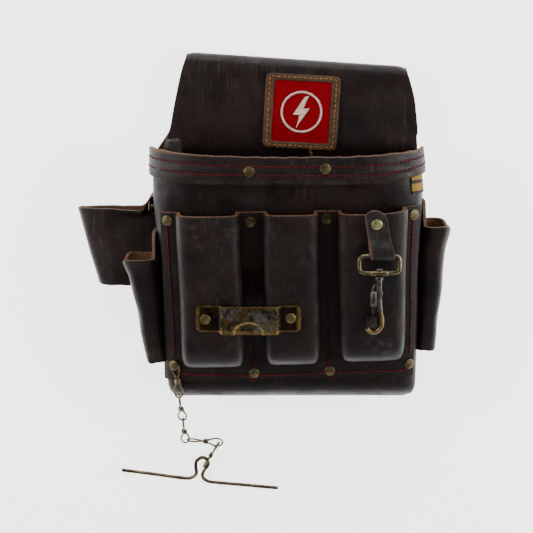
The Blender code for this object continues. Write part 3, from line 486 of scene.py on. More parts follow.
def turned_shape(profile, at, axis, sides=28, rough=0.0, seed=0.0):
    """Points and faces of a turned solid; profile holds (radius, height) from axis to axis."""
    turn = Vector((0, 0, 1)).rotation_difference(Vector(axis)).to_matrix()
    at = Vector(at)
    points = [at + turn @ Vector((0, 0, profile[0][1]))]
    for radius, height in profile[1:-1]:
        for corner in range(sides):
            angle = math.tau * corner / sides
            x, y = radius * math.cos(angle), radius * math.sin(angle)
            dent = rough * wander(x, y, seed * 5, 2.2, seed)
            points.append(at + turn @ Vector((x, y, height + dent)))
    points.append(at + turn @ Vector((0, 0, profile[-1][1] + rough * wander(0, 0, seed * 5, 2.2, seed))))
    rings = len(profile) - 2
    faces = []
    for corner in range(sides):
        step = (corner + 1) % sides
        faces.append((0, 1 + step, 1 + corner))
        for ring in range(rings - 1):
            low = 1 + ring * sides
            faces.append((low + corner, low + step, low + sides + step, low + sides + corner))
        top = 1 + (rings - 1) * sides
        faces.append((top + corner, top + step, len(points) - 1))
    return points, faces


# ---------------------------------------------------------------- materials


class Nodes:
    """A small helper that adds shader nodes to one material and links them."""

    def __init__(self, name, colour, roughness, metallic=0.0):
        self.stuff = bpy.data.materials.new(name)
        self.stuff.use_nodes = True
        self.tree = self.stuff.node_tree
        self.shader = self.tree.nodes["Principled BSDF"]
        self.shader.inputs["Base Color"].default_value = (*colour, 1.0)
        self.shader.inputs["Roughness"].default_value = roughness
        self.shader.inputs["Metallic"].default_value = metallic
        self.place = self.tree.nodes.new("ShaderNodeTexCoord").outputs["Object"]

    def add(self, kind, **settings):
        node = self.tree.nodes.new(kind)
        for key, value in settings.items():
            setattr(node, key, value)
        return node

    def join(self, source, target):
        self.tree.links.new(source, target)

    def stretch(self, scale, turn=(0.0, 0.0, 0.0)):
        """Object coordinates scaled along each axis, in repeats per metre."""
        node = self.add("ShaderNodeMapping")
        node.inputs["Scale"].default_value = scale
        node.inputs["Rotation"].default_value = turn
        self.join(self.place, node.inputs["Vector"])
        return node.outputs["Vector"]

    def noise(self, scale, detail=4.0, rough=0.55, place=None, distortion=0.0):
        node = self.add("ShaderNodeTexNoise")
        node.inputs["Scale"].default_value = scale
        node.inputs["Detail"].default_value = detail
        node.inputs["Roughness"].default_value = rough
        node.inputs["Distortion"].default_value = distortion
        self.join(place or self.place, node.inputs["Vector"])
        return node.outputs["Fac"]

    def voronoi(self, scale):
        node = self.add("ShaderNodeTexVoronoi")
        node.inputs["Scale"].default_value = scale
        self.join(self.place, node.inputs["Vector"])
        return node.outputs["Distance"]

    def ramp(self, source, low, high, start=0.0, end=1.0):
        """Map low..high of a value to start..end, clamped."""
        node = self.add("ShaderNodeMapRange")
        for key, value in (("From Min", low), ("From Max", high), ("To Min", start), ("To Max", end)):
            node.inputs[key].default_value = value
        self.join(source, node.inputs["Value"])
        return node.outputs["Result"]

    def attribute(self, name):
        return self.add("ShaderNodeAttribute", attribute_name=name).outputs["Fac"]

    def times(self, first, second):
        return self.maths("MULTIPLY", first, second)

    def maths(self, operation, first, second):
        node = self.add("ShaderNodeMath", operation=operation)
        for socket, value in zip(node.inputs, (first, second)):
            if isinstance(value, (int, float)):
                socket.default_value = value
            else:
                self.join(value, socket)
        return node.outputs["Value"]

    def colours(self, share, first, second):
        """A colour between two others, each a tuple or an output."""
        node = self.add("ShaderNodeMix", data_type="RGBA")
        self.join(share, node.inputs["Factor"])
        for socket, value in ((node.inputs[6], first), (node.inputs[7], second)):
            if isinstance(value, tuple):
                socket.default_value = (*value, 1.0)
            else:
                self.join(value, socket)
        return node.outputs[2]

    def base(self, colour):
        self.join(colour, self.shader.inputs["Base Color"])

    def roughness(self, value):
        self.join(value, self.shader.inputs["Roughness"])

    def bump(self, height, distance, strength=1.0, after=None):
        """Bump from a height output, in millimetres, on top of an earlier bump."""
        node = self.add("ShaderNodeBump")
        node.inputs["Strength"].default_value = strength
        node.inputs["Distance"].default_value = distance * MM
        self.join(height, node.inputs["Height"])
        if after is not None:
            self.join(after, node.inputs["Normal"])
        return node.outputs["Normal"]

    def finish(self, normal=None, **sockets):
        if normal is not None:
            self.join(normal, self.shader.inputs["Normal"])
        for key, value in sockets.items():
            self.shader.inputs[key].default_value = value
        return self.stuff


def leather_material(name, dark, warm, raw, scuffed, roughness):
    """Waxed leather: mottled, grained, scratched, scuffed where worn and brown where cut."""
    n = Nodes(name, dark, roughness)
    mottle = n.ramp(n.noise(26.0, 5.0, 0.6), 0.38, 0.68)
    fine = n.ramp(n.noise(300.0, 5.0, 0.7), 0.40, 0.66)
    body = n.colours(mottle, dark, warm)
    darker = tuple(0.45 * c for c in dark)
    body = n.colours(n.times(fine, 0.6), body, darker)
    rubbed = n.times(n.ramp(n.noise(48.0, 6.0, 0.7, distortion=0.8), 0.58, 0.72), 0.16)
    body = n.colours(rubbed, body, scuffed)
    streak_place = n.stretch((520.0, 26.0, 520.0), (0.0, 0.0, 0.06))
    streak = n.ramp(n.noise(1.0, 3.0, 0.6, streak_place), 0.57, 0.70)
    patches = n.ramp(n.noise(22.0, 3.0, 0.6), 0.46, 0.62)
    scratch = n.times(n.times(streak, patches), 0.45)
    body = n.colours(scratch, body, scuffed)
    wear = n.attribute("wear")
    broken = n.ramp(n.noise(320.0, 4.0, 0.65), 0.36, 0.62)
    worn = n.times(wear, n.maths("ADD", n.times(broken, 0.75), 0.25))
    body = n.colours(worn, body, scuffed)
    cut = n.attribute("raw")
    fibre = n.ramp(n.noise(700.0, 3.0, 0.7), 0.3, 0.72)
    edge = n.colours(fibre, tuple(0.42 * c for c in raw), raw)
    n.base(n.colours(cut, body, edge))
    gloss = n.ramp(n.noise(60.0, 4.0, 0.6), 0.3, 0.75, roughness - 0.1, roughness + 0.16)
    gloss = n.maths("ADD", gloss, n.times(worn, 0.12))
    n.roughness(n.maths("MAXIMUM", gloss, n.times(cut, 0.88)))
    grain = n.bump(n.voronoi(620.0), 0.10, 0.55)
    creases = n.bump(n.noise(110.0, 6.0, 0.65), 0.8, 0.6, grain)
    rough_cut = n.bump(n.times(fibre, cut), 0.45, 0.8, creases)
    scratched = n.bump(n.times(scratch, -1.0), 0.25, 0.6, rough_cut)
    return n.finish(scratched, **{"Specular IOR Level": 0.26})


DIRT = (0.02, 0.015, 0.01)


def metal_material(name, bright, dull, roughness, spots=0.5):
    """Old plated metal: polished and tarnished patches, dark specks and fine scratches."""
    n = Nodes(name, bright, roughness, 1.0)
    patches = n.ramp(n.noise(150.0, 5.0, 0.65), 0.38, 0.62)
    specks = n.ramp(n.noise(900.0, 3.0, 0.6), 0.58, 0.7)
    n.base(n.colours(n.times(specks, spots), n.colours(patches, dull, bright), DIRT))
    n.roughness(n.ramp(n.noise(420.0, 4.0, 0.6), 0.3, 0.75, roughness - 0.08, roughness + 0.2))
    lines = n.bump(n.noise(1.0, 2.0, 0.5, n.stretch((2400.0, 240.0, 900.0))), 0.05, 0.4)
    return n.finish(n.bump(n.noise(700.0, 4.0, 0.7), 0.12, 0.5, lines))


def thread_material(name, colour, shade):
    """Twisted sewing thread."""
    n = Nodes(name, colour, 0.7)
    n.base(n.colours(n.ramp(n.noise(260.0, 4.0, 0.6), 0.35, 0.68), colour, shade))
    twist = n.bump(n.noise(1.0, 1.0, 0.5, n.stretch((3200.0, 1100.0, 3200.0), (0.0, 0.0, 0.7))), 0.12, 0.7)
    return n.finish(twist, **{"Specular IOR Level": 0.15})


def cloth_material(name, colour, shade):
    """Close weave or embroidery, its rows in the object's X and Y."""
    n = Nodes(name, colour, 0.85)
    heights = []
    for turn in (0.0, math.pi / 2):
        wave = n.add("ShaderNodeTexWave", wave_type="BANDS", bands_direction="X")
        for key, value in (("Scale", 75.0), ("Distortion", 1.4), ("Detail", 1.0), ("Detail Scale", 4.0)):
            wave.inputs[key].default_value = value
        n.join(n.stretch((20.0, 20.0, 20.0), (0.0, 0.0, turn + 0.05)), wave.inputs["Vector"])
        heights.append(wave.outputs["Fac"])
    speckle = n.ramp(n.noise(1400.0, 2.0, 0.6), 0.3, 0.7)
    share = n.times(n.maths("ADD", n.times(*heights), speckle), 0.5)
    n.base(n.colours(share, shade, colour))
    return n.finish(n.bump(share, 0.25, 0.8), **{"Specular IOR Level": 0.08})


# Each leather's colours are its dark and warm patches, raw fibre and scuffs.
LEATHER_DARK = leather_material(
    "dark_leather",
    (0.0068, 0.0042, 0.0036),
    (0.019, 0.0078, 0.006),
    (0.15, 0.070, 0.030),
    (0.05, 0.042, 0.038),
    0.5,
)
LEATHER_BROWN = leather_material(
    "patch_leather",
    (0.05, 0.027, 0.013),
    (0.085, 0.045, 0.021),
    (0.12, 0.066, 0.034),
    (0.13, 0.085, 0.05),
    0.6,
)
LEATHER_ROUGH = leather_material(
    "rough_leather",
    (0.012, 0.010, 0.008),
    (0.026, 0.019, 0.014),
    (0.065, 0.043, 0.03),
    (0.06, 0.048, 0.038),
    0.8,
)
LEATHER_GREY = leather_material(
    "strap_leather",
    (0.013, 0.0115, 0.0105),
    (0.02, 0.016, 0.014),
    (0.15, 0.075, 0.04),
    (0.08, 0.07, 0.062),
    0.5,
)
BRASS = metal_material("tarnished_brass", (0.20, 0.155, 0.075), (0.085, 0.066, 0.034), 0.48)
BRIGHT_BRASS = metal_material("bright_brass", (0.50, 0.47, 0.24), (0.27, 0.25, 0.12), 0.42, spots=0.3)
WIRE_METAL = metal_material("antique_wire", (0.22, 0.175, 0.10), (0.06, 0.046, 0.027), 0.38)
STEEL = metal_material("dark_steel", (0.17, 0.155, 0.13), (0.055, 0.047, 0.038), 0.40)
STEEL_DARK = metal_material("blackened_steel", (0.085, 0.075, 0.066), (0.035, 0.03, 0.027), 0.42)
HOOK_METAL = metal_material("hook_brass", (0.30, 0.21, 0.08), (0.07, 0.055, 0.035), 0.42)
RED_THREAD = thread_material("red_thread", (0.115, 0.0055, 0.008), (0.035, 0.003, 0.004))
TAN_THREAD = thread_material("tan_thread", (0.34, 0.135, 0.038), (0.15, 0.055, 0.017))
MARK_THREAD = thread_material("mark_thread", (0.72, 0.56, 0.47), (0.52, 0.34, 0.26))
RED_CLOTH = cloth_material("red_embroidery", (0.34, 0.0, 0.010), (0.15, 0.0, 0.004))


def webbing_material():
    """Mustard webbing with dark bars across it."""
    n = Nodes("mustard_webbing", (0.42, 0.25, 0.03), 0.85)
    wave = n.add("ShaderNodeTexWave", wave_type="BANDS", bands_direction="Y")
    wave.inputs["Scale"].default_value = 36.0
    wave.inputs["Distortion"].default_value = 0.8
    n.join(n.place, wave.inputs["Vector"])
    bars = n.ramp(wave.outputs["Fac"], 0.70, 0.82)
    n.base(n.colours(bars, (0.25, 0.145, 0.018), (0.02, 0.014, 0.008)))
    ribs = n.bump(n.noise(1.0, 1.0, 0.5, n.stretch((2600.0, 300.0, 2600.0))), 0.2, 0.8)
    return n.finish(ribs)


def clip_material():
    """The bar clip's worn plating: brassy, coppery and dark steel patches, and flat ears coloured dark,
    partly patina and partly painted shade.
    """
    n = Nodes("worn_plating", (0.3, 0.17, 0.07), 0.4, 1.0)
    warm = n.ramp(n.noise(120.0, 6.0, 0.75, distortion=0.6), 0.43, 0.57)
    bridge = n.colours(warm, (0.030, 0.024, 0.018), (0.17, 0.11, 0.045))
    bare = n.ramp(n.noise(85.0, 5.0, 0.75, n.stretch((1.3, 0.8, 1.0))), 0.50, 0.60)
    bridge = n.colours(n.times(bare, 0.85), bridge, (0.17, 0.165, 0.15))
    # The flat ears' dark colour is partly patina and partly painted shade, standing in for the shade inside
    # cupped ears; the clip's "wear" attribute, how raised it is, picks it against the plated middle.
    ears = n.colours(n.times(warm, 0.3), (0.012, 0.009, 0.007), (0.10, 0.06, 0.02))
    body = n.colours(n.attribute("wear"), ears, bridge)
    rub = n.times(n.attribute("raw"), n.ramp(n.noise(160.0, 4.0, 0.7), 0.32, 0.55, 0.25, 1.0))
    body = n.colours(rub, body, (0.30, 0.19, 0.065))
    black = n.ramp(n.noise(300.0, 5.0, 0.7), 0.55, 0.63)
    n.base(n.colours(n.times(black, 0.8), body, (0.018, 0.014, 0.011)))
    n.roughness(n.ramp(n.noise(300.0, 4.0, 0.6), 0.3, 0.7, 0.28, 0.62))
    lines = n.bump(n.noise(1.0, 2.0, 0.5, n.stretch((300.0, 3000.0, 900.0))), 0.06, 0.5)
    return n.finish(n.bump(n.noise(500.0, 5.0, 0.7), 0.16, 0.6, lines))


WEBBING = webbing_material()
CLIP_METAL = clip_material()


# ---------------------------------------------------------------- shapes of the bag


def bag_centre(y):
    return BAG_LEAN_START - BAG_LEAN * y


def bag_width(y):
    return mix(BAG_WIDTH_LOW, BAG_WIDTH_TOP, y / BAG_TOP) - BAG_CORNER_IN * (1 - rounding(y, BAG_CORNER))


def straight_depth(y):
    """How deep the bag would be at a height without its rounded foot."""
    return mix(BAG_DEPTH_LOW, BAG_DEPTH_TOP, (y - BAG_CORNER) / (BAG_TOP - BAG_CORNER))


def bag_depth(y):
    return max(straight_depth(y), BAG_DEPTH_LOW) * rounding(y, BAG_CORNER)


def bag_square(y):
    return mix(BAG_SQUARE, MOUTH_SQUARE, blend(y, MOUTH_BOW_FROM, BAG_TOP))


def front_z(x, y):
    share = min(abs(x - bag_centre(y)) / bag_width(y), 0.999)
    square = bag_square(y)
    return BAG_REAR + bag_depth(y) * (1 - share**square) ** (1 / square)


def front_normal(x, y):
    step = 0.5
    slope_x = (front_z(x + step, y) - front_z(x - step, y)) / (2 * step)
    slope_y = (front_z(x, y + step) - front_z(x, y - step)) / (2 * step)
    return Vector((-slope_x, -slope_y, 1)).normalized()


def panel_edges(y):
    for (low, left_low, right_low), (high, left_high, right_high) in zip(PANEL_EDGES, PANEL_EDGES[1:]):
        if y <= high:
            share = max((y - low) / (high - low), 0.0)
            return mix(left_low, left_high, share), mix(right_low, right_high, share)
    return PANEL_EDGES[-1][1:]


def mouth_shift(x, y, z):
    """How the sewn mouth dips in its middle, narrows at its ends and sinks towards the back."""
    across = min(abs(x) / BAG_WIDTH_TOP, 1.0)
    top = blend(y, RIM_LOW, RIM_TOP)
    dip = -mix(*MOUTH_DIP, top) * (1 - across**2)
    ends = (1 - top) * MOUTH_ENDS[x > 0] * blend(across, 0.6, 1.0)
    sunk = -MOUTH_SINK * (1 - blend(z, 2.0, 48.0)) * blend(across, 0.6, 0.9)
    return blend(y, 160.0, RIM_LOW) * (dip + ends + sunk)


def settle(point, at_mouth=True):
    """Where a point of the CAD's smooth bag ends up in the worn one, the same for all layers."""
    x, y, z = point
    free = blend(z, 6.0, 40.0)
    drop = mouth_shift(x, y, z) if at_mouth else 0.0
    return Vector(
        (
            x + 1.3 * free * wander(0.4 * x, y, z, 70.0, 1.0),
            y + 0.7 * wander(x, 0.3 * y, z, 80.0, 2.0) + drop,
            z + free * (1.1 * wander(x, y, 0.0, 55.0, 3.0) + 0.35 * wander(x, y, 0.0, 17.0, 4.0)),
        )
    )


def rounded_square(angle, square):
    """Across and out on a rounded square of half size 1, squarer as square grows."""
    across, out = math.cos(angle), math.sin(angle)
    radius = (abs(across) ** square + abs(out) ** square) ** (-1 / square)
    return radius * across, radius * out


def side_way(path, index):
    """The unit direction to the side of a path of pairs, at one of its points."""
    before = path[max(index - 1, 0)]
    after = path[min(index + 1, len(path) - 1)]
    along = Vector((after[0] - before[0], after[1] - before[1])).normalized()
    return Vector((along.y, -along.x))


def even(points, count):
    """The same line, resampled to evenly spaced points."""
    lengths = [0.0]
    for before, after in zip(points, points[1:]):
        lengths.append(lengths[-1] + (Vector(after) - Vector(before)).length)
    resampled = []
    span = 0
    for index in range(count):
        target = lengths[-1] * index / (count - 1)
        while span < len(points) - 2 and lengths[span + 1] < target:
            span += 1
        share = (target - lengths[span]) / max(lengths[span + 1] - lengths[span], 1e-9)
        resampled.append(Vector(points[span]).lerp(Vector(points[span + 1]), min(max(share, 0.0), 1.0)))
    return resampled


def bag_line(y, offset):
    """Evenly spaced points round the bag's outside at a height, from left rear to right rear."""
    wide = bag_width(y) + offset
    deep = bag_depth(y) + offset
    points = []
    for angle in spread(math.pi, 0.0, 241):
        across, out = rounded_square(angle, bag_square(y))
        points.append(Vector((bag_centre(y) + wide * across, y, BAG_REAR + deep * max(out, 0.0))))
    return even(points, BAG_COLUMNS)


# ---------------------------------------------------------------- leather body


def back_panel_path():
    """The rear leather's middle line in Y and Z, up the back, round the fold and down the front."""
    half = LEATHER / 2
    fold = FOLD_RADIUS - half
    front = 2 * FOLD_RADIUS - half
    seam = LEATHER + GAP + half
    path = [(y, half) for y in spread(PANEL_LIP, FOLD_Y - 4.0, 58)]
    for angle in spread(-math.pi / 2, math.pi / 2, 17):
        path.append((FOLD_Y + fold * math.cos(angle), FOLD_RADIUS + fold * math.sin(angle)))
    for y in spread(FOLD_Y - 4.0, FRONT_LAYER_END, 33):
        path.append((y, mix(front, seam, 1 - blend(y, SEAM_Y, TUNNEL_LOW))))
    return path


def make_back_panel():
    """The long rear leather, folded over at its top, with a soft wave in its front layer."""
    path = back_panel_path()
    outer = []
    inner = []
    for index, (y, z) in enumerate(path):
        normal = side_way(path, index) * LEATHER / 2
        left, right = panel_edges(y)
        if z > LEATHER:
            tuck = PANEL_TUCK * (1 - blend(y, 205.0, 232.0))
            left += tuck
            right -= tuck
        near_fold = blend(y, FOLD_Y - 16.0, FOLD_Y + FOLD_RADIUS)
        rows = ([], [])
        for column in range(PANEL_COLUMNS):
            share = column / (PANEL_COLUMNS - 1)
            squeeze = 1 - 0.012 * near_fold**3
            x = (left + right) / 2 + (share - 0.5) * (right - left) * squeeze
            x += 0.7 * wander(y, 0, z, 28.0, 5.0 + (share > 0.5)) * abs(2 * share - 1) ** 3
            corner = blend(abs(2 * share - 1), 0.9, 1.0)
            drop = FOLD_SLOPE * (x - 6.0) * blend(y, 225.0, FOLD_Y) - 1.5 * corner**2 * near_fold
            lift = 0.0
            if z > LEATHER:
                lift = 1.2 * wander(x, y, 0, 46.0, 6.0) * blend(y, 196.0, 240.0) * (1 - 0.6 * near_fold)
            for row, sign in zip(rows, (1, -1)):
                spot = Vector((x, y + sign * normal.x + drop, z + sign * normal.y + lift))
                spot.z = max(spot.z, 0.0)
                row.append(spot)
        outer.append(rows[0])
        inner.append(rows[1])

    def wear(point):
        edge = min(point.x - panel_edges(point.y)[0], panel_edges(point.y)[1] - point.x)
        fold = blend(point.y, FOLD_Y - 6.0, FOLD_Y + 6.0)
        rub = 0.35 * (1 - blend(edge, 0.5, 3.5)) + 0.28 * fold
        return rub * (0.5 + wander(*point, 9.0, 7.0))

    made = thick_sheet("rear_leather_and_flap", outer, inner, LEATHER_DARK, wear=wear, raw_inside=0.15)
    replace_node(made, "back_panel", "pouch")


def make_main_pocket():
    """The bag's front, sides and foot, wrapped from one leather."""
    heights = spread(BAG_TOP, BAG_CORNER, 56)
    heights += [BAG_CORNER * (1 - share) ** 1.7 for share in spread(0.07, 1.0, 16)]
    outer = []
    inner = []
    for y in heights:
        outer.append([settle(p) for p in bag_line(y, 0.0)])
        row = []
        for p in bag_line(y, -LEATHER):
            lifted = LEATHER + y * (BAG_TOP - LEATHER) / BAG_TOP
            row.append(settle((p.x, lifted, max(p.z, BAG_REAR))))
        inner.append(row)

    def wear(point):
        bottom = 1 - blend(point.y, 2.0, 12.0)
        across = abs(point.x - bag_centre(point.y))
        corner = blend(across, bag_width(max(point.y, 0.0)) - 9.0, bag_width(30.0) - 2.0)
        rub = 0.25 * bottom + 0.15 * corner * blend(point.z, 30.0, 60.0)
        return rub * (0.55 + 0.9 * wander(*point, 8.0, 8.0))

    made = thick_sheet("bag_front_and_sides", outer, inner, LEATHER_DARK, wear=wear)
    replace_node(made, "main_pocket_shell", "pouch")


def rim_surface(y):
    """Points of the rim band's outside at a height: a slightly padded strip, pinched at its seams."""
    share = (y - RIM_LOW) / (RIM_TOP - RIM_LOW)
    puff = 0.5 * math.sin(math.pi * share) ** 0.5 if 0 < share < 1 else 0.0
    for row in RIM_SEAMS:
        puff -= 0.55 * math.exp(-(((y - row) / 1.3) ** 2))
    return bag_line(min(y, BAG_TOP + 2.5), GAP + SOFT_LEATHER - 0.4 + puff)


def make_rim_band():
    """The binding round the mouth, its edges a little wavy and its top edge raw."""
    outer = []
    inner = []
    for y in spread(RIM_TOP, RIM_LOW, 24):
        share = (y - RIM_LOW) / (RIM_TOP - RIM_LOW)
        shifts = []
        for p in bag_line(y, 3):
            uneven = 0.8 * wander(p.x, 0, p.z, 11.0, 9.0) + 0.5 * wander(p.x, 0, p.z, 33.0, 9.5)
            shifts.append(uneven * abs(2 * share - 1))
        outer.append([settle((p.x, p.y + s, p.z)) for p, s in zip(rim_surface(y), shifts)])
        inner.append([settle((p.x, p.y + s, p.z)) for p, s in zip(bag_line(y, GAP), shifts)])

    def wear(point):
        near_edge = max(blend(point.y, RIM_TOP - 4.0, RIM_TOP), 1 - blend(point.y, RIM_LOW, RIM_LOW + 3.0))
        rub = 0.5 * near_edge * (0.5 + wander(*point, 6.0, 9.0))
        return rub + 0.18 * (0.5 + wander(*point, 13.0, 10.0))

    def cut(point):
        fibres = 0.7 + 0.8 * wander(*point, 4.0, 11.0)
        return 0.95 * blend(point.y, RIM_TOP - 3.4, RIM_TOP - 0.8) * fibres

    made = thick_sheet("rim_band_leather", outer, inner, LEATHER_DARK, wear=wear, cut=cut, lip=0.9)
    replace_node(made, "rim_band", "pouch")


# ---------------------------------------------------------------- moulded panel


def panel_tilt(x, y):
    return y + PANEL_TILT * x


def pocket_frame(pocket, y):
    """A moulded pocket's centre, half width and bulge at a height on the panel."""
    _, left_top, right_top, left_low, right_low, bottom = pocket
    share = (y - bottom) / (PANEL_TOP - bottom)
    left = mix(left_low, left_top, share)
    right = mix(right_low, right_top, share)
    full = rounding(y - bottom, POCKET_CORNER, 3.0) if y > bottom else 0.0
    half = (right - left) / 2 - POCKET_NARROW * (1 - full)
    return (left + right) / 2, half, POCKET_BULGE * full


def pocket_arch(centre, half, bulge):
    """Across one moulded pocket: (x, bulge) pairs, evenly spaced along its skin."""
    points = []
    for angle in spread(math.pi, 0.0, 81):
        across, out = rounded_square(angle, POCKET_SQUARE)
        points.append((centre + half * across, 0.0, max(bulge, 0.01) * max(out, 0.0)))
    return [(p.x, p.z) for p in even(points, POCKET_COLUMNS)]


def panel_row(y, rise):
    """One row of the moulded panel, rise above its rear."""
    line = []
    edge = PANEL_LEFT
    wall = SOFT_LEATHER - rise
    for pocket in POCKETS:
        centre, half, bulge = pocket_frame(pocket, y)
        strip = centre - half - edge
        line += [(edge + strip * step / 8, 0.0) for step in range(8)]
        line += pocket_arch(centre, half - wall, bulge)
        edge = centre + half + 1.0
    line += [(edge + (PANEL_RIGHT - edge) * step / 8, 0.0) for step in range(9)]
    row = []
    for x, bulge in line:
        tilted = panel_tilt(x, y)
        lift = front_normal(x, tilted) * (PANEL_GAP + rise)
        face = 0.8 * wander(x, y, 0.0, 24.0, 12.0) * blend(bulge, 6.0, 19.0)
        spot = Vector((x + lift.x, tilted + lift.y, front_z(x, tilted) + lift.z + bulge + face))
        row.append(settle(spot))
    return row


def panel_wear(point):
    """Rubbed mould edges, pocket bottoms and a few scuffs where tools and hands reach."""
    y = point.y - PANEL_TILT * point.x
    rub = 0.0
    for pocket in POCKETS:
        centre, half, bulge = pocket_frame(pocket, y)
        ridge = math.exp(-(((abs(point.x - centre) - half + 2.2) / 1.5) ** 2))
        foot = math.exp(-(((y - pocket[5] - 4.5) / 2.6) ** 2)) * (abs(point.x - centre) < half)
        high = blend(point.z, front_z(point.x, point.y) + 12.0, front_z(point.x, point.y) + 19.0)
        rub += (0.45 * ridge * high + 0.22 * foot) * (0.3 + 1.2 * wander(*point, 10.0, 13.0))
        lip = blend(y, PANEL_TOP - 3.0, PANEL_TOP) * blend(bulge, 1.0, 8.0)
        rub += 0.3 * lip * (abs(point.x - centre) < half + 1.0)
    for x, height, reach, amount in SCUFFS:
        away = math.hypot(point.x - x, point.y - height) / reach
        rub += amount * math.exp(-(away**2)) * max(0.2 + 1.5 * wander(*point, 5.0, 14.0), 0.0)
    return min(max(rub, 0.0), 1.0)


def make_pocket_panel():
    """The moulded front panel, with more rows where the pockets' feet curve in."""
    heights = spread(PANEL_TOP, 68.0, 40) + spread(66.5, 36.5, 34) + spread(35.5, PANEL_LOW, 8)
    outer = [panel_row(y, SOFT_LEATHER) for y in heights]
    inner = [panel_row(y, 0.0) for y in heights]
    made = thick_sheet("moulded_pocket_panel", outer, inner, LEATHER_DARK, wear=panel_wear, lip=0.5)
    replace_node(made, "pocket_panel", "pouch")


# ---------------------------------------------------------------- side pockets, loop and tube


def tube_ring(shape, side, y, shrink):
    """Closed line round a side pocket at a height: a D whose flat side lies along the bag's side."""
    share = min(max((y - shape["low"]) / (shape["mouth"] - shape["low"]), 0.0), 1.15)
    reach = mix(*shape["reach"], share) - 2 * shrink
    low = mix(shape["z_low"][0], shape["z_top"][0], share) + shrink
    high = mix(shape["z_low"][1], shape["z_top"][1], share) - shrink
    wall = bag_centre(y) + side * (bag_width(y) + GAP + shrink)
    points = []
    for column in range(TUBE_COLUMNS):
        angle = math.tau * column / TUBE_COLUMNS
        across = (1 - power(math.cos(angle), 0.7)) / 2
        z = (low + high) / 2 + (high - low) / 2 * power(math.sin(angle), 0.75)
        points.append(Vector((wall + side * reach * across, y, z)))
    return points


def make_side_pocket(name, node, shape, side):
    """A tapered leather tube, open at both ends, with a tab that rises along the bag's side."""
    grids = ([], [])
    for share in spread(1.0, 0.0, 44):
        flare = 1.6 * blend(share, 0.82, 1.0)
        for grid, shrink in zip(grids, (0.0, SOFT_LEATHER)):
            row = []
            for column in range(TUBE_COLUMNS):
                angle = math.tau * column / TUBE_COLUMNS
                near = max(math.cos(angle), 0.0)
                rise = (shape["tab"] - shape["mouth"]) * blend(near, 0.75, 0.97)
                rise -= 3.5 * (1 - blend(abs(math.sin(angle)), 0.2, 0.9)) * (math.cos(angle) < 0)
                y = mix(shape["low"], shape["mouth"], share) + rise * max(share - 0.7, 0.0) / 0.3
                point = tube_ring(shape, side, y, shrink)[column]
                away = 1 - near
                point.x -= side * 1.6 * (1 - blend(away, 0.5, 1.0))
                point.x += side * away * (flare + 1.5 * wander(*point, 34.0, 15.0 + side))
                point.z += away * (flare * math.sin(angle) + 0.8 * wander(*point, 26.0, 17.0 + side))
                ragged = 1.6 * wander(point.x, 0.0, point.z, 7.0, 18.0) * (1 - blend(share, 0.0, 0.12))
                point.y += ragged + 0.7 * wander(point.x, 0.0, point.z, 9.0, 19.0) * blend(share, 0.9, 1.0)
                row.append(settle(point))
            grid.append(row)

    def wear(point):
        low = 1 - blend(point.y, shape["low"], shape["low"] + 20.0)
        top = blend(point.y, shape["mouth"] - 8.0, shape["mouth"])
        patch = max(wander(*point, 14.0, 20.0), 0.0)
        return min((0.5 * low + 0.3 * top + 0.35 * patch) * (0.6 + wander(*point, 6.0, 21.0)), 1.0)

    made = thick_sheet(name, grids[0], grids[1], LEATHER_DARK, True, wear, lip=0.5)
    replace_node(made, node, "pouch")


def loop_ring(y, shrink):
    """Closed line round the tool loop at a height: flat against the bag, thin at its far edge."""
    share = min(max((y - LOOP_LOW) / (LOOP_TOP - LOOP_LOW), 0.0), 1.0)
    reach = mix(LOOP_REACH_LOW, LOOP_REACH_TOP, share)
    wall = bag_centre(y) - bag_width(y) - LOOP_GAP
    flange = 24.0 + 26.0 * blend(y, 158.0, 168.0)
    middle = (wall - reach) / 2
    corners = [
        (wall - shrink, 5.0 + shrink),
        (wall - shrink, 0.5 * flange),
        (wall - shrink, flange - shrink),
        (wall - 6.0 - shrink, 4.0 + 0.84 * flange - 0.6 * shrink),
        (wall - 16.0, 15.0 + 0.35 * flange - shrink),
        (middle, 23.0 - shrink),
        (middle - 12.0, 22.5 - shrink),
        (-reach + 4.0 + 0.4 * shrink, 19.5 - shrink),
        (-reach + shrink, 13.0),
        (-reach + 4.0 + 0.4 * shrink, 6.5 + shrink),
        (middle - 12.0, 4.2 + shrink),
        (middle, 3.8 + shrink),
        (wall - 16.0, 4.2 + shrink),
    ]
    points = []
    for index, corner in enumerate(corners):
        following = corners[(index + 1) % len(corners)]
        for step in range(LOOP_STEPS):
            points.append(Vector((*corner, 0.0)).lerp(Vector((*following, 0.0)), step / LOOP_STEPS))
    return points


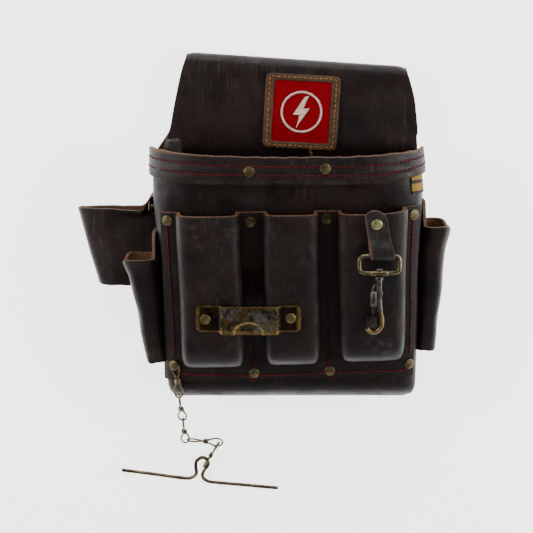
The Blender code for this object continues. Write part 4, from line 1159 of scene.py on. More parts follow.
def make_tool_loop():
    """A wide flattened loop of leather; its front edge runs up the bag's side as a flange."""
    grids = ([], [])
    for share in spread(1.0, 0.0, 34):
        level = mix(LOOP_LOW, LOOP_TOP, share)
        wall = bag_centre(level) - bag_width(level) - LOOP_GAP
        for grid, shrink in zip(grids, (0.0, SOFT_LEATHER)):
            ring = loop_ring(level, shrink)
            soft = []
            for i in range(len(ring)):
                near = [ring[(i + step) % len(ring)] for step in (-2, -1, 0, 1, 2)]
                soft.append(sum(near, Vector((0, 0, 0))) / 5)
            row = []
            for column, (flat, round_point) in enumerate(zip(ring, soft)):
                place = column / LOOP_STEPS
                on_flange = blend(place, 0.0, 1.0) * (1 - blend(place, 3.0, 4.0))
                point = flat.lerp(round_point, 1 - 0.7 * on_flange)
                near_wall = blend(point.x, wall - 15.0, wall - 0.5) ** 1.6
                rise = (LOOP_FLANGE - LOOP_TOP) * max(share - 0.5, 0.0) / 0.5 * near_wall
                loose = 1 - on_flange
                wave = 1.6 * wander(point.x, level, point.y, 30.0, 22.0) * loose
                edge = 0.9 * wander(point.x, point.y, share * 40, 12.0, 23.0) * loose
                row.append(Vector((point.x + 0.6 * wave, level + rise + edge, max(point.y + wave, 0.4))))
            grid.append(row)

    def wear(point):
        edge = 1 - blend(point.x, -LOOP_REACH_TOP, -LOOP_REACH_TOP + 20.0)
        rub = 0.4 * edge * (0.5 + wander(*point, 7.0, 24.0))
        return rub + 0.3 * max(wander(*point, 20.0, 25.0), 0.0)

    made = thick_sheet("tool_loop_leather", grids[0], grids[1], LEATHER_DARK, True, wear, lip=0.6)
    replace_node(made, "tool_loop", "pouch")


def make_inner_tube():
    """A rolled scrap of leather standing in the left corner of the mouth, its turns just apart."""
    x, z = INNER_TUBE_AT
    low, top = INNER_TUBE_SPAN
    grids = ([], [])
    for y in spread(top, low, 30):
        for grid, depth in zip(grids, (0.0, INNER_TUBE_WALL)):
            row = []
            for column in range(64):
                angle = math.tau * column / 64
                dent = 0.45 * wander(4 * math.cos(angle), y, 4 * math.sin(angle), 9.0, 26.0)
                overlap = 0.9 * (1 - column / 63) ** 3
                radius = INNER_TUBE_RADIUS - 0.4 - depth + dent + (overlap if depth == 0.0 else 0.0)
                ragged = 1.6 * wander(column * 0.6, 0.0, depth, 5.0, 27.0) * blend(y, top - 8.0, top)
                row.append(Vector((x + radius * math.cos(angle), y + ragged, z + radius * math.sin(angle))))
            grid.append(row)

    def wear(point):
        return 0.5 * blend(point.y, top - 14.0, top) * (0.5 + wander(*point, 4.0, 28.0))

    made = thick_sheet("rolled_scrap", grids[0], grids[1], LEATHER_ROUGH, True, wear, lip=0.5)
    replace_node(made, "inner_tube", "pouch")


# ---------------------------------------------------------------- patch and tab


def patch_point(x, y, lift):
    """A point on the sewn patch, in the patch's own axes, that follows the flap's waves."""
    turn = Matrix.Rotation(PATCH_TURN, 3, "Z")
    spot = Vector((*PATCH_AT, 0.0)) + turn @ Vector((x, y, 0.0))
    wave = 0.55 * wander(spot.x, spot.y, 0.0, 24.0, 29.0)
    return Vector((spot.x, spot.y, 2 * FOLD_RADIUS + GAP + lift + 0.6 + wave))


def frame_outline(width, height, square, count):
    """A rounded rectangle's points, evenly spaced."""
    points = []
    for angle in spread(-3 * math.pi / 4, 5 * math.pi / 4, 241):
        across, out = rounded_square(angle, square)
        points.append(Vector((width / 2 * across, height / 2 * out, 0.0)))
    return even(points, count + 1)[:-1]


def make_patch_frame():
    """The patch's leather frame, padded between its edges and pulled down along its stitching."""
    rings = 9
    count = 168
    outside = frame_outline(*PATCH_SIZE, 18, count)
    inside = frame_outline(*PATCH_WINDOW, 24, count)
    top = []
    rear = []
    for ring in range(rings):
        share = ring / (rings - 1)
        puff = 0.45 * math.sin(math.pi * share) ** 0.6 - 0.45 * math.exp(-(((share - 0.45) / 0.12) ** 2))
        top.append([])
        rear.append([])
        for a, b in zip(outside, inside):
            flat = a.lerp(b, share)
            rough = 0.35 * wander(flat.x, flat.y, 0, 5.0, 30.0) * (ring in (0, rings - 1))
            top[-1].append(patch_point(flat.x + rough, flat.y + rough, PATCH_THICK - 0.5 + puff))
            rear[-1].append(patch_point(flat.x, flat.y, -0.3))

    def wear(point):
        return 0.6 * max(wander(*point, 6.0, 31.0), 0.0)

    made = thick_sheet("patch_frame_leather", top, rear, LEATHER_BROWN, True, wear, lip=0.3)
    replace_node(made, "patch_frame", "pouch")


def make_patch_field():
    """The red embroidered ground in the frame's window."""
    width, height = PATCH_WINDOW
    reach_x, reach_y = width / 2 - GAP, height / 2 - GAP
    top = []
    rear = []
    for y in spread(reach_y, -reach_y, 60):
        top.append([])
        rear.append([])
        for x in spread(-reach_x, reach_x, 56):
            pile = 0.16 * wander(x, 0.4 * y, 0.0, 1.1, 32.0) + 0.1 * wander(x, y, 0.0, 4.0, 33.0)
            top[-1].append(patch_point(x, y, 1.2 + pile))
            rear[-1].append(patch_point(x, y, 0.1))
    made = thick_sheet("patch_embroidery", top, rear, RED_CLOTH, lip=0.1)
    replace_node(made, "patch_field", "pouch")


def capsule(points, radius, sides=8):
    """A thread of even thickness with rounded ends along a few points."""
    line = smooth_line(points, 3)
    sizes = []
    for index in range(len(line)):
        end = min(index, len(line) - 1 - index)
        full = 0.6 if end == 0 else (0.9 if end == 1 else 1.0)
        sizes.append((radius * full, radius * full))
    return sweep(line, sizes, False, sides, 0.35 * radius)


def inside_outline(outline, y):
    """Where a level line crosses an outline, from left to right."""
    crossings = []
    for (xa, ya), (xb, yb) in zip(outline, outline[1:] + outline[:1]):
        if min(ya, yb) <= y < max(ya, yb):
            crossings.append(xa + (xb - xa) * (y - ya) / (yb - ya))
    return sorted(crossings)


def satin(start, end):
    """One raised satin stitch between two points of the patch's axes."""
    middle = (Vector(start) + Vector(end)) / 2
    points = [patch_point(*start, STITCH_LIFT - 0.3)]
    points.append(patch_point(*middle, STITCH_LIFT))
    points.append(patch_point(*end, STITCH_LIFT - 0.3))
    return capsule(points, 0.34, 6)


def make_emblem():
    """A lightning mark inside a ring, both in raised satin stitches."""
    parts = []
    for index, y in enumerate(spread(-12.8, 12.8, 46)):
        crossings = inside_outline(EMBLEM, y)
        for left, right in zip(crossings[::2], crossings[1::2]):
            jitter = 0.25 * wander(index * 3.3, 0, 0, 1.0, 34.0)
            parts.append(satin((left + jitter, y - 0.5), (right + jitter, y + 0.5)))
    for index in range(160):
        angle = math.tau * index / 160
        inner, outer = EMBLEM_RING
        outer += 0.2 * wander(index * 1.7, 0, 0, 1.0, 35.0)
        twist = angle + 0.05
        start = (inner * math.cos(angle), inner * math.sin(angle))
        end = (outer * math.cos(twist), outer * math.sin(twist))
        parts.append(satin(start, end))
    made = joined("patch_mark", parts, MARK_THREAD)
    replace_node(made, "patch_emblem", "pouch")


def make_woven_tab():
    """A short folded piece of mustard webbing sewn under the right end of the rim."""
    top = []
    rear = []
    for y in spread(RIM_LOW - GAP, TAB_LOW, 22):
        sway = 0.12 * (RIM_LOW - y) - 0.6
        top.append([])
        rear.append([])
        for x in spread(*TAB_SPAN, 20):
            x += sway
            normal = front_normal(x, y)
            rib = 0.12 * math.sin(y * 5.2)
            for row, lift in ((top[-1], GAP + 1.4 + rib), (rear[-1], GAP + 0.1)):
                spot = Vector((x, y, front_z(x, y))) + Vector((normal.x, 0, normal.z)) * lift
                row.append(settle(spot))
    made = thick_sheet("mustard_tab", top, rear, WEBBING, lip=0.25)
    replace_node(made, "woven_tab", "pouch")


# ---------------------------------------------------------------- rivets


def add_rivet(node, at, axis, stuff, seed, under=0.0, grip=8.0, burr=True):
    """A worn domed rivet: at is under its head, grip the thickness it holds."""
    profile = [(0, RIVET_DOME + under)]
    for share in (0.25, 0.5, 0.72, 0.88, 0.97):
        profile.append((RIVET_HEAD * share, under + 0.35 + (RIVET_DOME - 0.35) * (1 - share**2.4)))
    profile += [(RIVET_HEAD, 0.3 + under), (RIVET_HEAD * 0.985, 0.05 + under), (RIVET_SHANK, under)]
    profile.append((RIVET_SHANK, -grip - GAP))
    if burr:
        profile += [(3.4, -grip - GAP), (3.5, -grip - 0.9), (2.4, -grip - 1.3)]
    profile.append((0, -grip - (1.3 if burr else 0.2)))
    parts = [turned_shape(profile, at, axis, 32, 0.22, seed)]
    replace_node(joined(f"{node}_head", parts, stuff, 40.0), node, "pouch")


def make_rivets():
    """Every rivet on the pouch; those in the front follow the settled leather."""
    cover = SOFT_LEATHER + PANEL_GAP + GAP
    for seed, (node, (x, y)) in enumerate(FRONT_RIVETS.items()):
        normal = front_normal(x, y)
        at = Vector((x, y, front_z(x, y))) + normal * cover
        if node == "chain_rivet":
            add_rivet(node, at, normal, BRASS, seed, 2 * CHAIN_WIRE + 3 * GAP)
        else:
            add_rivet(node, settle(at, False), normal, BRASS, seed)
    for side, (x, y) in zip(("left", "right"), TUNNEL_RIVETS):
        top = 2 * LEATHER + 2 * GAP
        add_rivet(f"tunnel_rivet_{side}", (x, y, top), (0, 0, 1), BRASS, 20, grip=top - GAP, burr=False)
    y, z = LOOP_RIVET
    at = (bag_centre(y) - bag_width(y) - LOOP_GAP - SOFT_LEATHER - GAP, y, z)
    add_rivet("loop_rivet", at, (-1, 0, 0), BRASS, 21)
    for side, (x, y) in zip(("left", "right"), CLIP_RIVETS):
        at = Vector((x, y, pocket_face(y))) + FACE_NORMAL * (2 * GAP + CLIP_SHEET)
        add_rivet(f"clip_rivet_{side}", at, FACE_NORMAL, BRASS, 22, grip=5.0, burr=False)
    at = on_snap(*SNAP_RIVET, 0.0) + FACE_NORMAL * (2 * STRAP_THICK + 3 * GAP)
    add_rivet("snap_rivet", at, FACE_NORMAL, BRIGHT_BRASS, 23, burr=False)


# ---------------------------------------------------------------- bar clip


def pocket_face(y):
    """Height of the moulded pockets' flat faces."""
    return BAG_REAR + straight_depth(y) + PANEL_GAP + SOFT_LEATHER + POCKET_BULGE


def clip_rise(x):
    """How far the clip stands off the pockets: flat ears and a raised middle with round bends."""
    left = blend(x, CLIP_LEFT[1] - 1.5, CLIP_LEFT[1] + 2.2)
    right = 1 - blend(x, CLIP_RIGHT[0] - 2.2, CLIP_RIGHT[0] + 1.5)
    return CLIP_BRIDGE * left * right


def clip_end(x):
    """How far the ears' rounded corners draw the clip's long edges in at a place along it."""
    ends = min(x - CLIP_LEFT[0], CLIP_RIGHT[1] - x)
    if ends >= EAR_CORNER:
        return 0.0
    return EAR_CORNER - math.sqrt(max(EAR_CORNER**2 - (EAR_CORNER - max(ends, 0.0)) ** 2, 0.0))


def relief(x, y):
    """How far out from the clip's half-round relief a place is: 1 on its border."""
    centre, half, height = CLIP_RELIEF
    return math.hypot((x - centre) / half, (y - CLIP_BOTTOM + 0.9) / height)


def make_bar_clip():
    """A bent strip of worn plated metal with a half-round relief in its lower edge."""
    middle = (CLIP_TOP + CLIP_BOTTOM) / 2
    half = (CLIP_TOP - CLIP_BOTTOM) / 2
    top = []
    rear = []
    stations = [CLIP_LEFT[0] + 0.15 * step**1.5 for step in range(10)]
    stations += spread(CLIP_LEFT[0] + 4.6, CLIP_RIGHT[1] - 4.6, 110)
    stations += [CLIP_RIGHT[1] - 0.15 * step**1.5 for step in reversed(range(10))]
    for x in stations:
        top.append([])
        rear.append([])
        raised = clip_rise(x) / CLIP_BRIDGE
        reach = half - clip_end(x) + 0.9 * raised
        for share in spread(1.0, -1.0, 34):
            y = middle + reach * share - CLIP_DROP * raised
            arch = relief(x, y) ** 2
            pressed = -1.3 * (1 - blend(arch, 0.72, 1.1)) * raised
            border = 0.35 * math.exp(-(((arch - 1.15) / 0.14) ** 2)) * raised
            dent = 0.14 * wander(x, y, 0, 5.0, 40.0) + 0.2 * wander(x, y, 0, 15.0, 41.0)
            lift = GAP + clip_rise(x) + dent + pressed + border
            top[-1].append(Vector((x, y, pocket_face(y) + lift + CLIP_SHEET)))
            rear[-1].append(Vector((x, y, pocket_face(y) + lift)))

    # How raised the clip is goes in as its "wear" attribute, which gives the flat ears their dark colour,
    # partly patina and partly painted shade.
    def bridge(point):
        return clip_rise(point.x) / CLIP_BRIDGE

    def rubbed(point):
        ends = min(point.x - CLIP_LEFT[0], CLIP_RIGHT[1] - point.x)
        sides = min(CLIP_TOP - point.y, point.y - CLIP_BOTTOM)
        ring = math.exp(-(((relief(point.x, point.y) - 1.03) / 0.09) ** 2)) * bridge(point)
        return max(0.9 * (1 - blend(ends, 1.5, 4.5)), 0.8 * (1 - blend(sides, 0.4, 1.8)), ring)

    made = thick_sheet("bent_bar_clip", top, rear, CLIP_METAL, False, bridge, rubbed, 0.12)
    replace_node(made, "bar_clip", "pouch")


# ---------------------------------------------------------------- snap hook


def on_snap(x, y, lift):
    """A point above the right pocket's face."""
    return Vector((x, y, pocket_face(y) + lift))


def strap_path(bar_y):
    """The strap's middle line: down under the bar, round it and back up to the rivet."""
    low_layer = GAP + STRAP_THICK / 2
    high_layer = low_layer + STRAP_THICK + GAP
    turn = SNAP_WIRE + GAP + STRAP_THICK / 2
    top = SNAP_RIVET[1] + STRAP_HALF_WIDTH + 1.0
    path = [(y, low_layer) for y in spread(top, bar_y + 9.0, 16)]
    path.append((bar_y + 5.0, low_layer))
    for angle in spread(-0.5 * math.pi, -1.5 * math.pi, 15):
        path.append((bar_y + turn * math.cos(angle), BAR_LIFT + turn * math.sin(angle)))
    rise = BAR_LIFT + turn - high_layer
    for y in spread(bar_y + 2.0, top, 22):
        path.append((y, high_layer + rise * (1 - blend(y, bar_y + 2.0, bar_y + 15.0))))
    return path


def make_strap():
    """The snap's strap: round at its top, with a raw left edge and a crease round the bar."""
    bar_y = STRAP_END[1]
    path = strap_path(bar_y)
    top = path[0][0]
    outer = []
    inner = []
    for index, (y, lift) in enumerate(path):
        normal = side_way(path, index) * STRAP_THICK / 2
        centre = mix(SNAP_RIVET[0], STRAP_END[0], (SNAP_RIVET[1] - y) / (SNAP_RIVET[1] - bar_y))
        near_top = max(y - (top - STRAP_HALF_WIDTH), 0.0) / STRAP_HALF_WIDTH
        half = STRAP_HALF_WIDTH * math.sqrt(max(1 - 0.93 * near_top**2, 0.05))
        swell = 0.05 * blend(y, bar_y + 14.0, bar_y + 4.0)
        half *= 1.0 + swell - 0.03 * blend(y, bar_y + 8.0, bar_y + 16.0)
        rows = ([], [])
        for share in spread(-1.0, 1.0, 26):
            x = centre + half * share + 0.25 * wander(share * 4, y, lift, 6.0, 42.0)
            thick = 1 - 0.18 * abs(share) ** 6
            crown = 0.25 * (1 - share**2) if lift > BAR_LIFT else 0.0
            for row, sign in zip(rows, (-1, 1)):
                row.append(on_snap(x, y + sign * normal.x * thick, lift + sign * normal.y * thick + crown))
        outer.append(rows[0])
        inner.append(rows[1])

    def wear(point):
        return 0.45 * max(wander(*point, 5.0, 43.0), 0.0)

    def cut(point):
        left = mix(SNAP_RIVET[0], STRAP_END[0], (SNAP_RIVET[1] - point.y) / (SNAP_RIVET[1] - bar_y))
        return 0.8 * (1 - blend(point.x, left - STRAP_HALF_WIDTH + 0.4, left - STRAP_HALF_WIDTH + 2.0))

    made = thick_sheet("snap_strap", outer, inner, LEATHER_GREY, wear=wear, cut=cut, lip=0.3)
    replace_node(made, "snap_tab", "strap")


def snap_lift(y):
    share = min(max((STRAP_END[1] - y) / (2 * SNAP_LOOP_HALF[1]), 0.0), 1.0)
    return mix(BAR_LIFT, SNAP_LIFT, share)


def make_snap_loop():
    """The wire loop, its lower bar swaged flat and wide where the hook's stem turns in it."""
    half_x, half_y = SNAP_LOOP_HALF
    middle = STRAP_END[1] - half_y
    line = []
    sizes = []
    for point in frame_outline(2 * half_x, 2 * half_y, 5.0, 120):
        y = middle + point.y
        line.append(on_snap(STRAP_END[0] - 2.0 + point.x, y, snap_lift(y)))
        near = (1 - blend(abs(point.x), 5.0, 8.5)) * (point.y < 0)
        sizes.append((mix(SNAP_WIRE, 2.5, near), mix(SNAP_WIRE, 2.9, near)))
    points, faces = sweep(line, sizes, True, 18)
    made = make_mesh("snap_loop_wire", points, faces, WIRE_METAL, sharp=60.0)
    replace_node(made, "snap_loop", "loop")


def make_snap_hook():
    """Headed stem, collar, cast shank with side fins, brass-plated hook and the bolt's guide."""
    pivot = on_snap(SNAP_X, HOOK_BAR_Y, SNAP_LIFT)
    reach = Vector((0, 1, FACE_SLOPE)).length
    head = 2.4 + GAP
    profile = [(0, head + 1.6), (1.6, head + 1.55), (2.5, head + 1.1), (2.8, head + 0.6), (2.7, head + GAP)]
    profile += [(1.4, head + GAP), (1.4, -head), (2.9, -head), (3.4, -head - 0.5), (3.4, -head - 2.6)]
    profile += [(2.9, -head - 3.4), (2.2, -head - 4.2), (0, -head - 4.4)]
    parts = [turned_shape([(r, h * reach) for r, h in profile], pivot, FACE_UP, 26, 0.1, 44)]
    way = [on_snap(SNAP_X + x, HOOK_BAR_Y + y, SNAP_LIFT) for x, y in HOOK_WAY]
    line = smooth_line(way[:4], 8)
    parts.append(sweep(line, [(2.3, 1.7)] * len(line), False, 14, 0.4))
    guide_at = on_snap(GUIDE_X, GUIDE_Y, SNAP_LIFT)
    barrel = [(0, -5.2), (1.9, -5.2), (2.8, -5.0), (3.0, -4.6)]
    barrel += [(3.0, 6.4), (2.6, 7.4), (1.6, 8.0), (0, 8.1)]
    parts.append(turned_shape(barrel, guide_at, FACE_UP, 24, 0.12, 45))
    for side in (-1, 1):
        fin = [on_snap(SNAP_X - 1.6 + side * x, HOOK_BAR_Y + y, SNAP_LIFT) for x, y in HOOK_FIN]
        parts.append(sweep(fin, [(0.9, 1.2)] * len(fin), False, 10, 0.3))
    made = joined("snap_hook_shank", parts, STEEL)
    replace_node(made, "snap_hook", "hook")
    bend = smooth_line(way[3:], 8)
    thinner = [0.3 * index / len(bend) for index in range(len(bend))]
    sizes = [(2.0 - less, 2.1 - less) for less in thinner]
    points, faces = sweep(bend, sizes, False, 16, 0.6)
    hook = make_mesh("snap_hook_bend", points, faces, HOOK_METAL, sharp=60.0)
    replace_node(hook, "snap_hook", "hook")


def make_snap_bolt():
    """The sliding bolt with its thumb block; the CAD's spring is kept, in steel."""
    guide_at = on_snap(GUIDE_X, GUIDE_Y, SNAP_LIFT)
    rod = [(0, -14.2), (1.4, -14.0), (1.6, -13.6), (1.6, -1.0), (0, -1.0)]
    parts = [turned_shape(rod, guide_at, FACE_UP, 20, 0.05, 46)]
    block_at = guide_at - FACE_UP * 18.5
    turn = Vector((0, 0, 1)).rotation_difference(FACE_NORMAL).to_matrix()
    rings = []
    for level, inset in ((-3.0, 0.5), (-2.4, 0.0), (2.2, 0.0), (2.9, 0.3), (3.2, 0.9)):
        ring = []
        for x, y in THUMB_BLOCK:
            pull_x = math.copysign(inset, x + 1.2)
            pull_y = math.copysign(inset, y)
            ring.append(block_at + turn @ Vector((x - pull_x, y - pull_y, level)))
        rings.append(ring)
    parts.append(loft(rings))
    made = joined("snap_bolt_slide", parts, STEEL_DARK, 30.0)
    replace_node(made, "snap_bolt", "bolt")
    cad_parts["bolt_spring"].data.materials.clear()
    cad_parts["bolt_spring"].data.materials.append(STEEL)


def loft(rings):
    """Points and faces of a solid through rings of equal count, closed at both ends."""
    count = len(rings[0])
    points = [point for ring in rings for point in ring]
    faces = [tuple(reversed(range(count))), tuple(range(len(points) - count, len(points)))]
    for level in range(len(rings) - 1):
        low = level * count
        for corner in range(count):
            step = (corner + 1) % count
            faces.append((low + corner, low + step, low + count + step, low + count + corner))
    return points, faces


# ---------------------------------------------------------------- chain and toggle bar


def link_line(start, end, tilts, knee=None, flat=(0.0, 0.0, 1.0), hold=0.0, steps=30):
    """A double-loop link's middle line, as in the CAD: pinched at its waist, looped at both ends."""
    start = Vector(start)
    end = Vector(end)
    pull = CHAIN_WIRE + 0.2
    bend = Vector(knee) if knee else (start + end) / 2
    first = start - (bend - start).normalized() * (hold or pull)
    last = end + (end - bend).normalized() * pull
    leg = (bend - first).length
    whole = leg + (last - bend).length
    line = []
    for step in range(2 * steps):
        angle = math.tau * (step + 0.5) / (2 * steps)
        share = (1 - math.cos(angle)) / 2
        on_leg = share * whole < leg
        ends = (first, bend) if on_leg else (bend, last)
        along = (ends[1] - ends[0]).normalized()
        middle = ends[0] + along * (share * whole - (0.0 if on_leg else leg))
        facing = Vector(flat).lerp(Vector((0, 0, 1)), blend(share * whole, leg - 4.0, leg + 8.0))
        side = facing.cross(along).normalized()
        up = along.cross(side)
        local = abs(share - 0.5) * 2
        width = 1.0 + (LINK_HALF_WIDTH - 1.0) * blend(local, 0.12, 0.62)
        across = width * (1 - local**6) ** 0.5 * math.copysign(1.0, math.sin(angle))
        turn = math.radians(mix(tilts[0], tilts[1], blend(share, 0.42, 0.58)))
        line.append(middle + (side * math.cos(turn) + up * math.sin(turn)) * across)
    return line


def waist_coil(line):
    """The wire wrapped round a link's waist: a short coil where its two sides run together."""
    count = len(line)
    quarter = count // 4
    centre = (line[quarter] + line[count - 1 - quarter]) / 2
    ahead = (line[quarter + 2] + line[count - 3 - quarter]) / 2
    along = (ahead - centre).normalized()
    side = (line[quarter] - line[count - 1 - quarter]).normalized()
    side = (side - along * side.dot(along)).normalized()
    up = along.cross(side)
    coil = []
    for step in range(KNOT_TURNS * 14 + 1):
        angle = math.tau * step / 14
        shift = (step / (KNOT_TURNS * 14) - 0.5) * KNOT_LENGTH
        coil.append(centre + along * shift + side * 2.0 * math.cos(angle) + up * 1.35 * math.sin(angle))
    tail = coil[-1] + along * 0.9 + side * 1.3 + up * 0.4
    coil.append(tail)
    return sweep(coil, [(0.75, 0.75)] * len(coil), False, 8, 0.2)


def chain_seat():
    """The point where the first link goes round its rivet, and the way the rivet faces."""
    x, y = FRONT_RIVETS["chain_rivet"]
    normal = front_normal(x, y)
    seat = Vector((x, y, front_z(x, y))) + normal * (SOFT_LEATHER + PANEL_GAP + GAP)
    return seat + normal * (CHAIN_WIRE + GAP), normal


def make_chain():
    """Five wrapped double-loop links from the chain rivet down to the toggle bar."""
    start, normal = chain_seat()
    _, end, tilts = CHAIN_LINKS[0]
    down = Vector((end[0] - start.x, end[1] - start.y, 0.0))
    down = (down - normal * down.dot(normal)).normalized()
    lines = [link_line(start, end, tilts, start + down * CHAIN_KNEE, normal, CHAIN_HOLD)]
    lines += [link_line(hook, tip, turns) for hook, tip, turns in CHAIN_LINKS[1:]]
    for number, line in enumerate(lines, 1):
        wobble = [point + Vector((0.12, 0.12, 0.0)) * wander(*point, 3.0, 50.0 + number) for point in line]
        loop = sweep(wobble, [(CHAIN_WIRE, CHAIN_WIRE)] * len(line), True, 10)
        made = joined(f"wrapped_link_{number}", [loop, waist_coil(line)], WIRE_METAL, 60.0)
        replace_node(made, f"chain_link_{number}", f"link_{number}")


def make_t_bar():
    """The bent toggle bar, a little uneven along its length, with cut ends."""
    line = smooth_line(T_BAR_POINTS, 12)
    sizes = []
    for index, point in enumerate(line):
        end = min(index, len(line) - 1 - index)
        swell = 1 + 0.05 * wander(point.x, point.y, 0, 7.0, 51.0)
        size = BAR_WIRE * swell * (0.86 if end == 0 else 1.0)
        sizes.append((size, size))
    points, faces = sweep(line, sizes, False, 18, 0.25)
    made = make_mesh("toggle_bar", points, faces, WIRE_METAL, sharp=60.0)
    replace_node(made, "t_bar", "toggle")


# ---------------------------------------------------------------- stitching


def stitches(name, line, normals, stuff, style, seed):
    """A running seam as separate short threads that dip into the leather; a few have gone."""
    pitch, length, radius, loose = style
    count = max(int(sum((b - a).length for a, b in zip(line, line[1:])) / pitch), 1)
    fine = even(line, 8 * count + 1)
    facing = even(normals, 8 * count + 1)
    span = length / pitch
    parts = []
    for index in range(count):
        if wander(index * 2.3, 0, 0, 1.0, seed + 0.5) > 0.62:
            continue
        start = index + 0.5 * (1 - span)
        points = []
        for share, lift in ((0.0, -0.5), (0.14, 0.15), (0.5, 0.42), (0.86, 0.15), (1.0, -0.5)):
            place = (start + share * span) * 8
            low = min(int(place), 8 * count - 1)
            at = fine[low].lerp(fine[low + 1], place - low)
            up = facing[low].normalized()
            along = (fine[low + 1] - fine[low]).normalized()
            across = up.cross(along)
            stray = loose * wander(index * 1.9, share, 0, 1.0, seed) + 0.22 * (share - 0.5)
            points.append(at + up * lift + across * stray)
        parts.append(capsule(points, radius * (1 + 0.15 * wander(index * 3.1, 0, 0, 1.0, seed + 2)), 7))
    add_thread(joined(name, parts, stuff, 70.0))


def along_front(points, lift):
    """A line on the bag's front leather and its outward directions, at a lift off the leather."""
    line = []
    normals = []
    for x, y in points:
        normal = front_normal(x, y)
        line.append(settle(Vector((x, y, front_z(x, y))) + normal * lift))
        normals.append(normal)
    return line, normals


def make_rim_stitches():
    """Two red rows right round the rim band."""
    for number, y in enumerate(RIM_SEAMS):
        surface = rim_surface(y)[6:-6]
        line = [settle(point) for point in surface]
        centre = Vector((bag_centre(y), y, BAG_REAR))
        normals = []
        for before, after in zip([surface[0], *surface[:-1]], [*surface[1:], surface[-1]]):
            normals.append((after - before).cross(Vector((0, 1, 0))).normalized())
        for index, (point, normal) in enumerate(zip(surface, normals)):
            if normal.dot(point - centre) < 0:
                normals[index] = -normal
        stitches(f"rim_stitches_{number + 1}", line, normals, RED_THREAD, RIM_STITCH, 60.0 + number)


def make_panel_stitches():
    """Red rows down the strips and margins of the moulded panel and along its foot."""
    lift = SOFT_LEATHER + PANEL_GAP + 0.05
    for number, (name, points) in enumerate(PANEL_SEAMS.items()):
        path = [(p.x, p.y) for p in smooth_line([(x, y, 0.0) for x, y in points], 14)]
        line, normals = along_front(path, lift)
        stitches(name, line, normals, RED_THREAD, PANEL_STITCH, 70.0 + number)


def make_patch_stitches():
    """Tan running stitches round the patch frame, with one loose end at the bottom."""
    width = (PATCH_SIZE[0] + PATCH_WINDOW[0]) / 2 + 0.6
    height = (PATCH_SIZE[1] + PATCH_WINDOW[1]) / 2 + 0.6
    loop = frame_outline(width, height, 30, 200)
    line = [patch_point(p.x, p.y, PATCH_THICK - 0.45) for p in [*loop, loop[0]]]
    normals = [Vector((0, 0, 1))] * len(line)
    stitches("patch_stitches", line, normals, TAN_THREAD, PATCH_STITCH, 80.0)
    points = [patch_point(*place) for place in LOOSE_THREAD]
    add_thread(joined("patch_loose_thread", [capsule(points, 0.34, 7)], TAN_THREAD, 70.0))


def make_tunnel_stitches():
    """Two red rows that close the belt tunnel, and a row down each edge of the back."""
    for number, y in enumerate(TUNNEL_SEAMS):
        left, right = panel_edges(y)
        row = [Vector((x, y, 2 * LEATHER + GAP)) for x in spread(left + 8.0, right - 8.0, 40)[4:-4]]
        up = [Vector((0, 0, 1))] * len(row)
        stitches(f"tunnel_stitches_{number + 1}", row, up, RED_THREAD, TUNNEL_STITCH, 84.0 + number)
    for index, (side, inward) in enumerate((("left", BACK_SEAM_IN), ("right", -BACK_SEAM_IN))):
        row = [Vector((panel_edges(y)[index] + inward, y, 0.5)) for y in spread(4.0, 214.0, 60)]
        down = [Vector((0, 0, -1))] * len(row)
        stitches(f"back_edge_stitches_{side}", row, down, RED_THREAD, BACK_STITCH, 88.0 + index)


def make_tufts():
    """Frayed ends of red thread where the seams start and stop."""
    for number, (x, y, spread_out) in enumerate(TUFTS):
        parts = []
        normal = front_normal(x, y)
        base = settle(Vector((x, y, front_z(x, y))) + normal * (SOFT_LEATHER + PANEL_GAP - 0.2))
        for strand in range(7):
            turn = math.tau * strand / 7 + 0.8 * wander(strand * 2.1, x, 0, 1.0, 90.0)
            reach = spread_out * (0.6 + 0.5 * abs(wander(strand * 3.7, y, 0, 1.0, 91.0)))
            out = Vector((math.cos(turn), math.sin(turn), 0.0))
            points = [base, base + out * 0.4 * reach + normal * 1.1, base + out * reach + normal * 0.5]
            points.append(points[-1] + Vector((-out.y, out.x, 0.0)) * 0.5 * reach)
            parts.append(capsule(points, 0.2, 6))
        add_thread(joined(f"red_tuft_{number + 1}", parts, RED_THREAD, 70.0))


# ---------------------------------------------------------------- light and camera


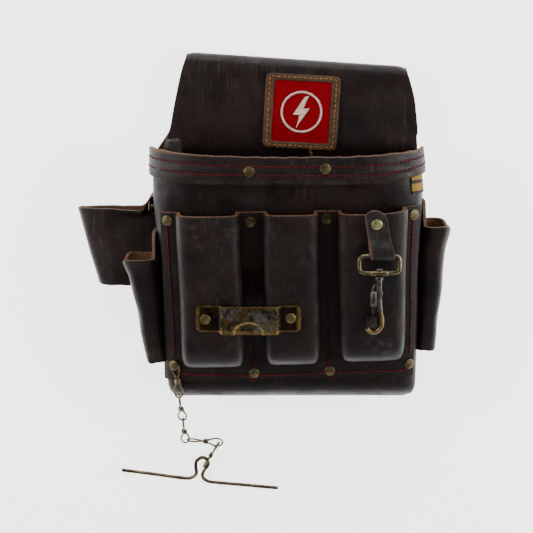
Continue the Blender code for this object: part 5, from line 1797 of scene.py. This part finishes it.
def area_light(name, at, size, power_watts):
    """A rectangular softbox that faces the pouch."""
    data = bpy.data.lights.new(name, "AREA")
    data.shape = "RECTANGLE"
    data.size, data.size_y = size
    data.energy = power_watts
    lamp = bpy.data.objects.new(name, data)
    lamp.location = at
    lamp.rotation_euler = (Vector(LAMP_AIM) - Vector(at)).to_track_quat("-Z", "Y").to_euler()
    bpy.context.scene.collection.objects.link(lamp)


def make_studio():
    """A white table and large soft lights at its sides, so that level surfaces mirror a dim room."""
    table = Nodes("white_table", (0.9, 0.9, 0.9), 0.95)
    table.base(table.ramp(table.noise(3.0, 2.0), 0.0, 1.0, 0.89, 0.91))
    table.shader.inputs["Emission Color"].default_value = (1.0, 1.0, 1.0, 1.0)
    table.shader.inputs["Emission Strength"].default_value = TABLE_GLOW
    table.shader.inputs["Specular IOR Level"].default_value = 0.1
    bpy.ops.mesh.primitive_grid_add(x_subdivisions=2, y_subdivisions=2, size=8.0, location=(0, 0, 0))
    floor = bpy.context.active_object
    floor.name = "table_top"
    floor.data.materials.append(table.stuff)
    world = bpy.data.worlds.new("studio")
    world.use_nodes = True
    background = world.node_tree.nodes["Background"]
    background.inputs["Color"].default_value = (1.0, 1.0, 1.0, 1.0)
    background.inputs["Strength"].default_value = ROOM_LIGHT
    bpy.context.scene.world = world
    for name, at, size, watts in LAMPS:
        area_light(name, at, size, watts)


def make_camera():
    data = bpy.data.cameras.new("overhead")
    data.sensor_width = 36.0
    data.lens = CAMERA_LENS
    data.clip_end = 20.0
    camera = bpy.data.objects.new("overhead", data)
    camera.location = CAMERA_AT
    camera.rotation_euler = (math.radians(CAMERA_TILT), 0.0, 0.0)
    bpy.context.scene.collection.objects.link(camera)
    bpy.context.scene.camera = camera


make_back_panel()
make_main_pocket()
make_rim_band()
make_pocket_panel()
make_side_pocket("left_pocket_leather", "left_side_pocket", LEFT_TUBE, -1)
make_side_pocket("right_pocket_leather", "right_side_pocket", RIGHT_TUBE, 1)
make_tool_loop()
make_inner_tube()
make_patch_frame()
make_patch_field()
make_emblem()
make_woven_tab()
make_rivets()
make_bar_clip()
make_strap()
make_snap_loop()
make_snap_hook()
make_snap_bolt()
make_chain()
make_t_bar()
make_rim_stitches()
make_panel_stitches()
make_patch_stitches()
make_tunnel_stitches()
make_tufts()
make_studio()
make_camera()
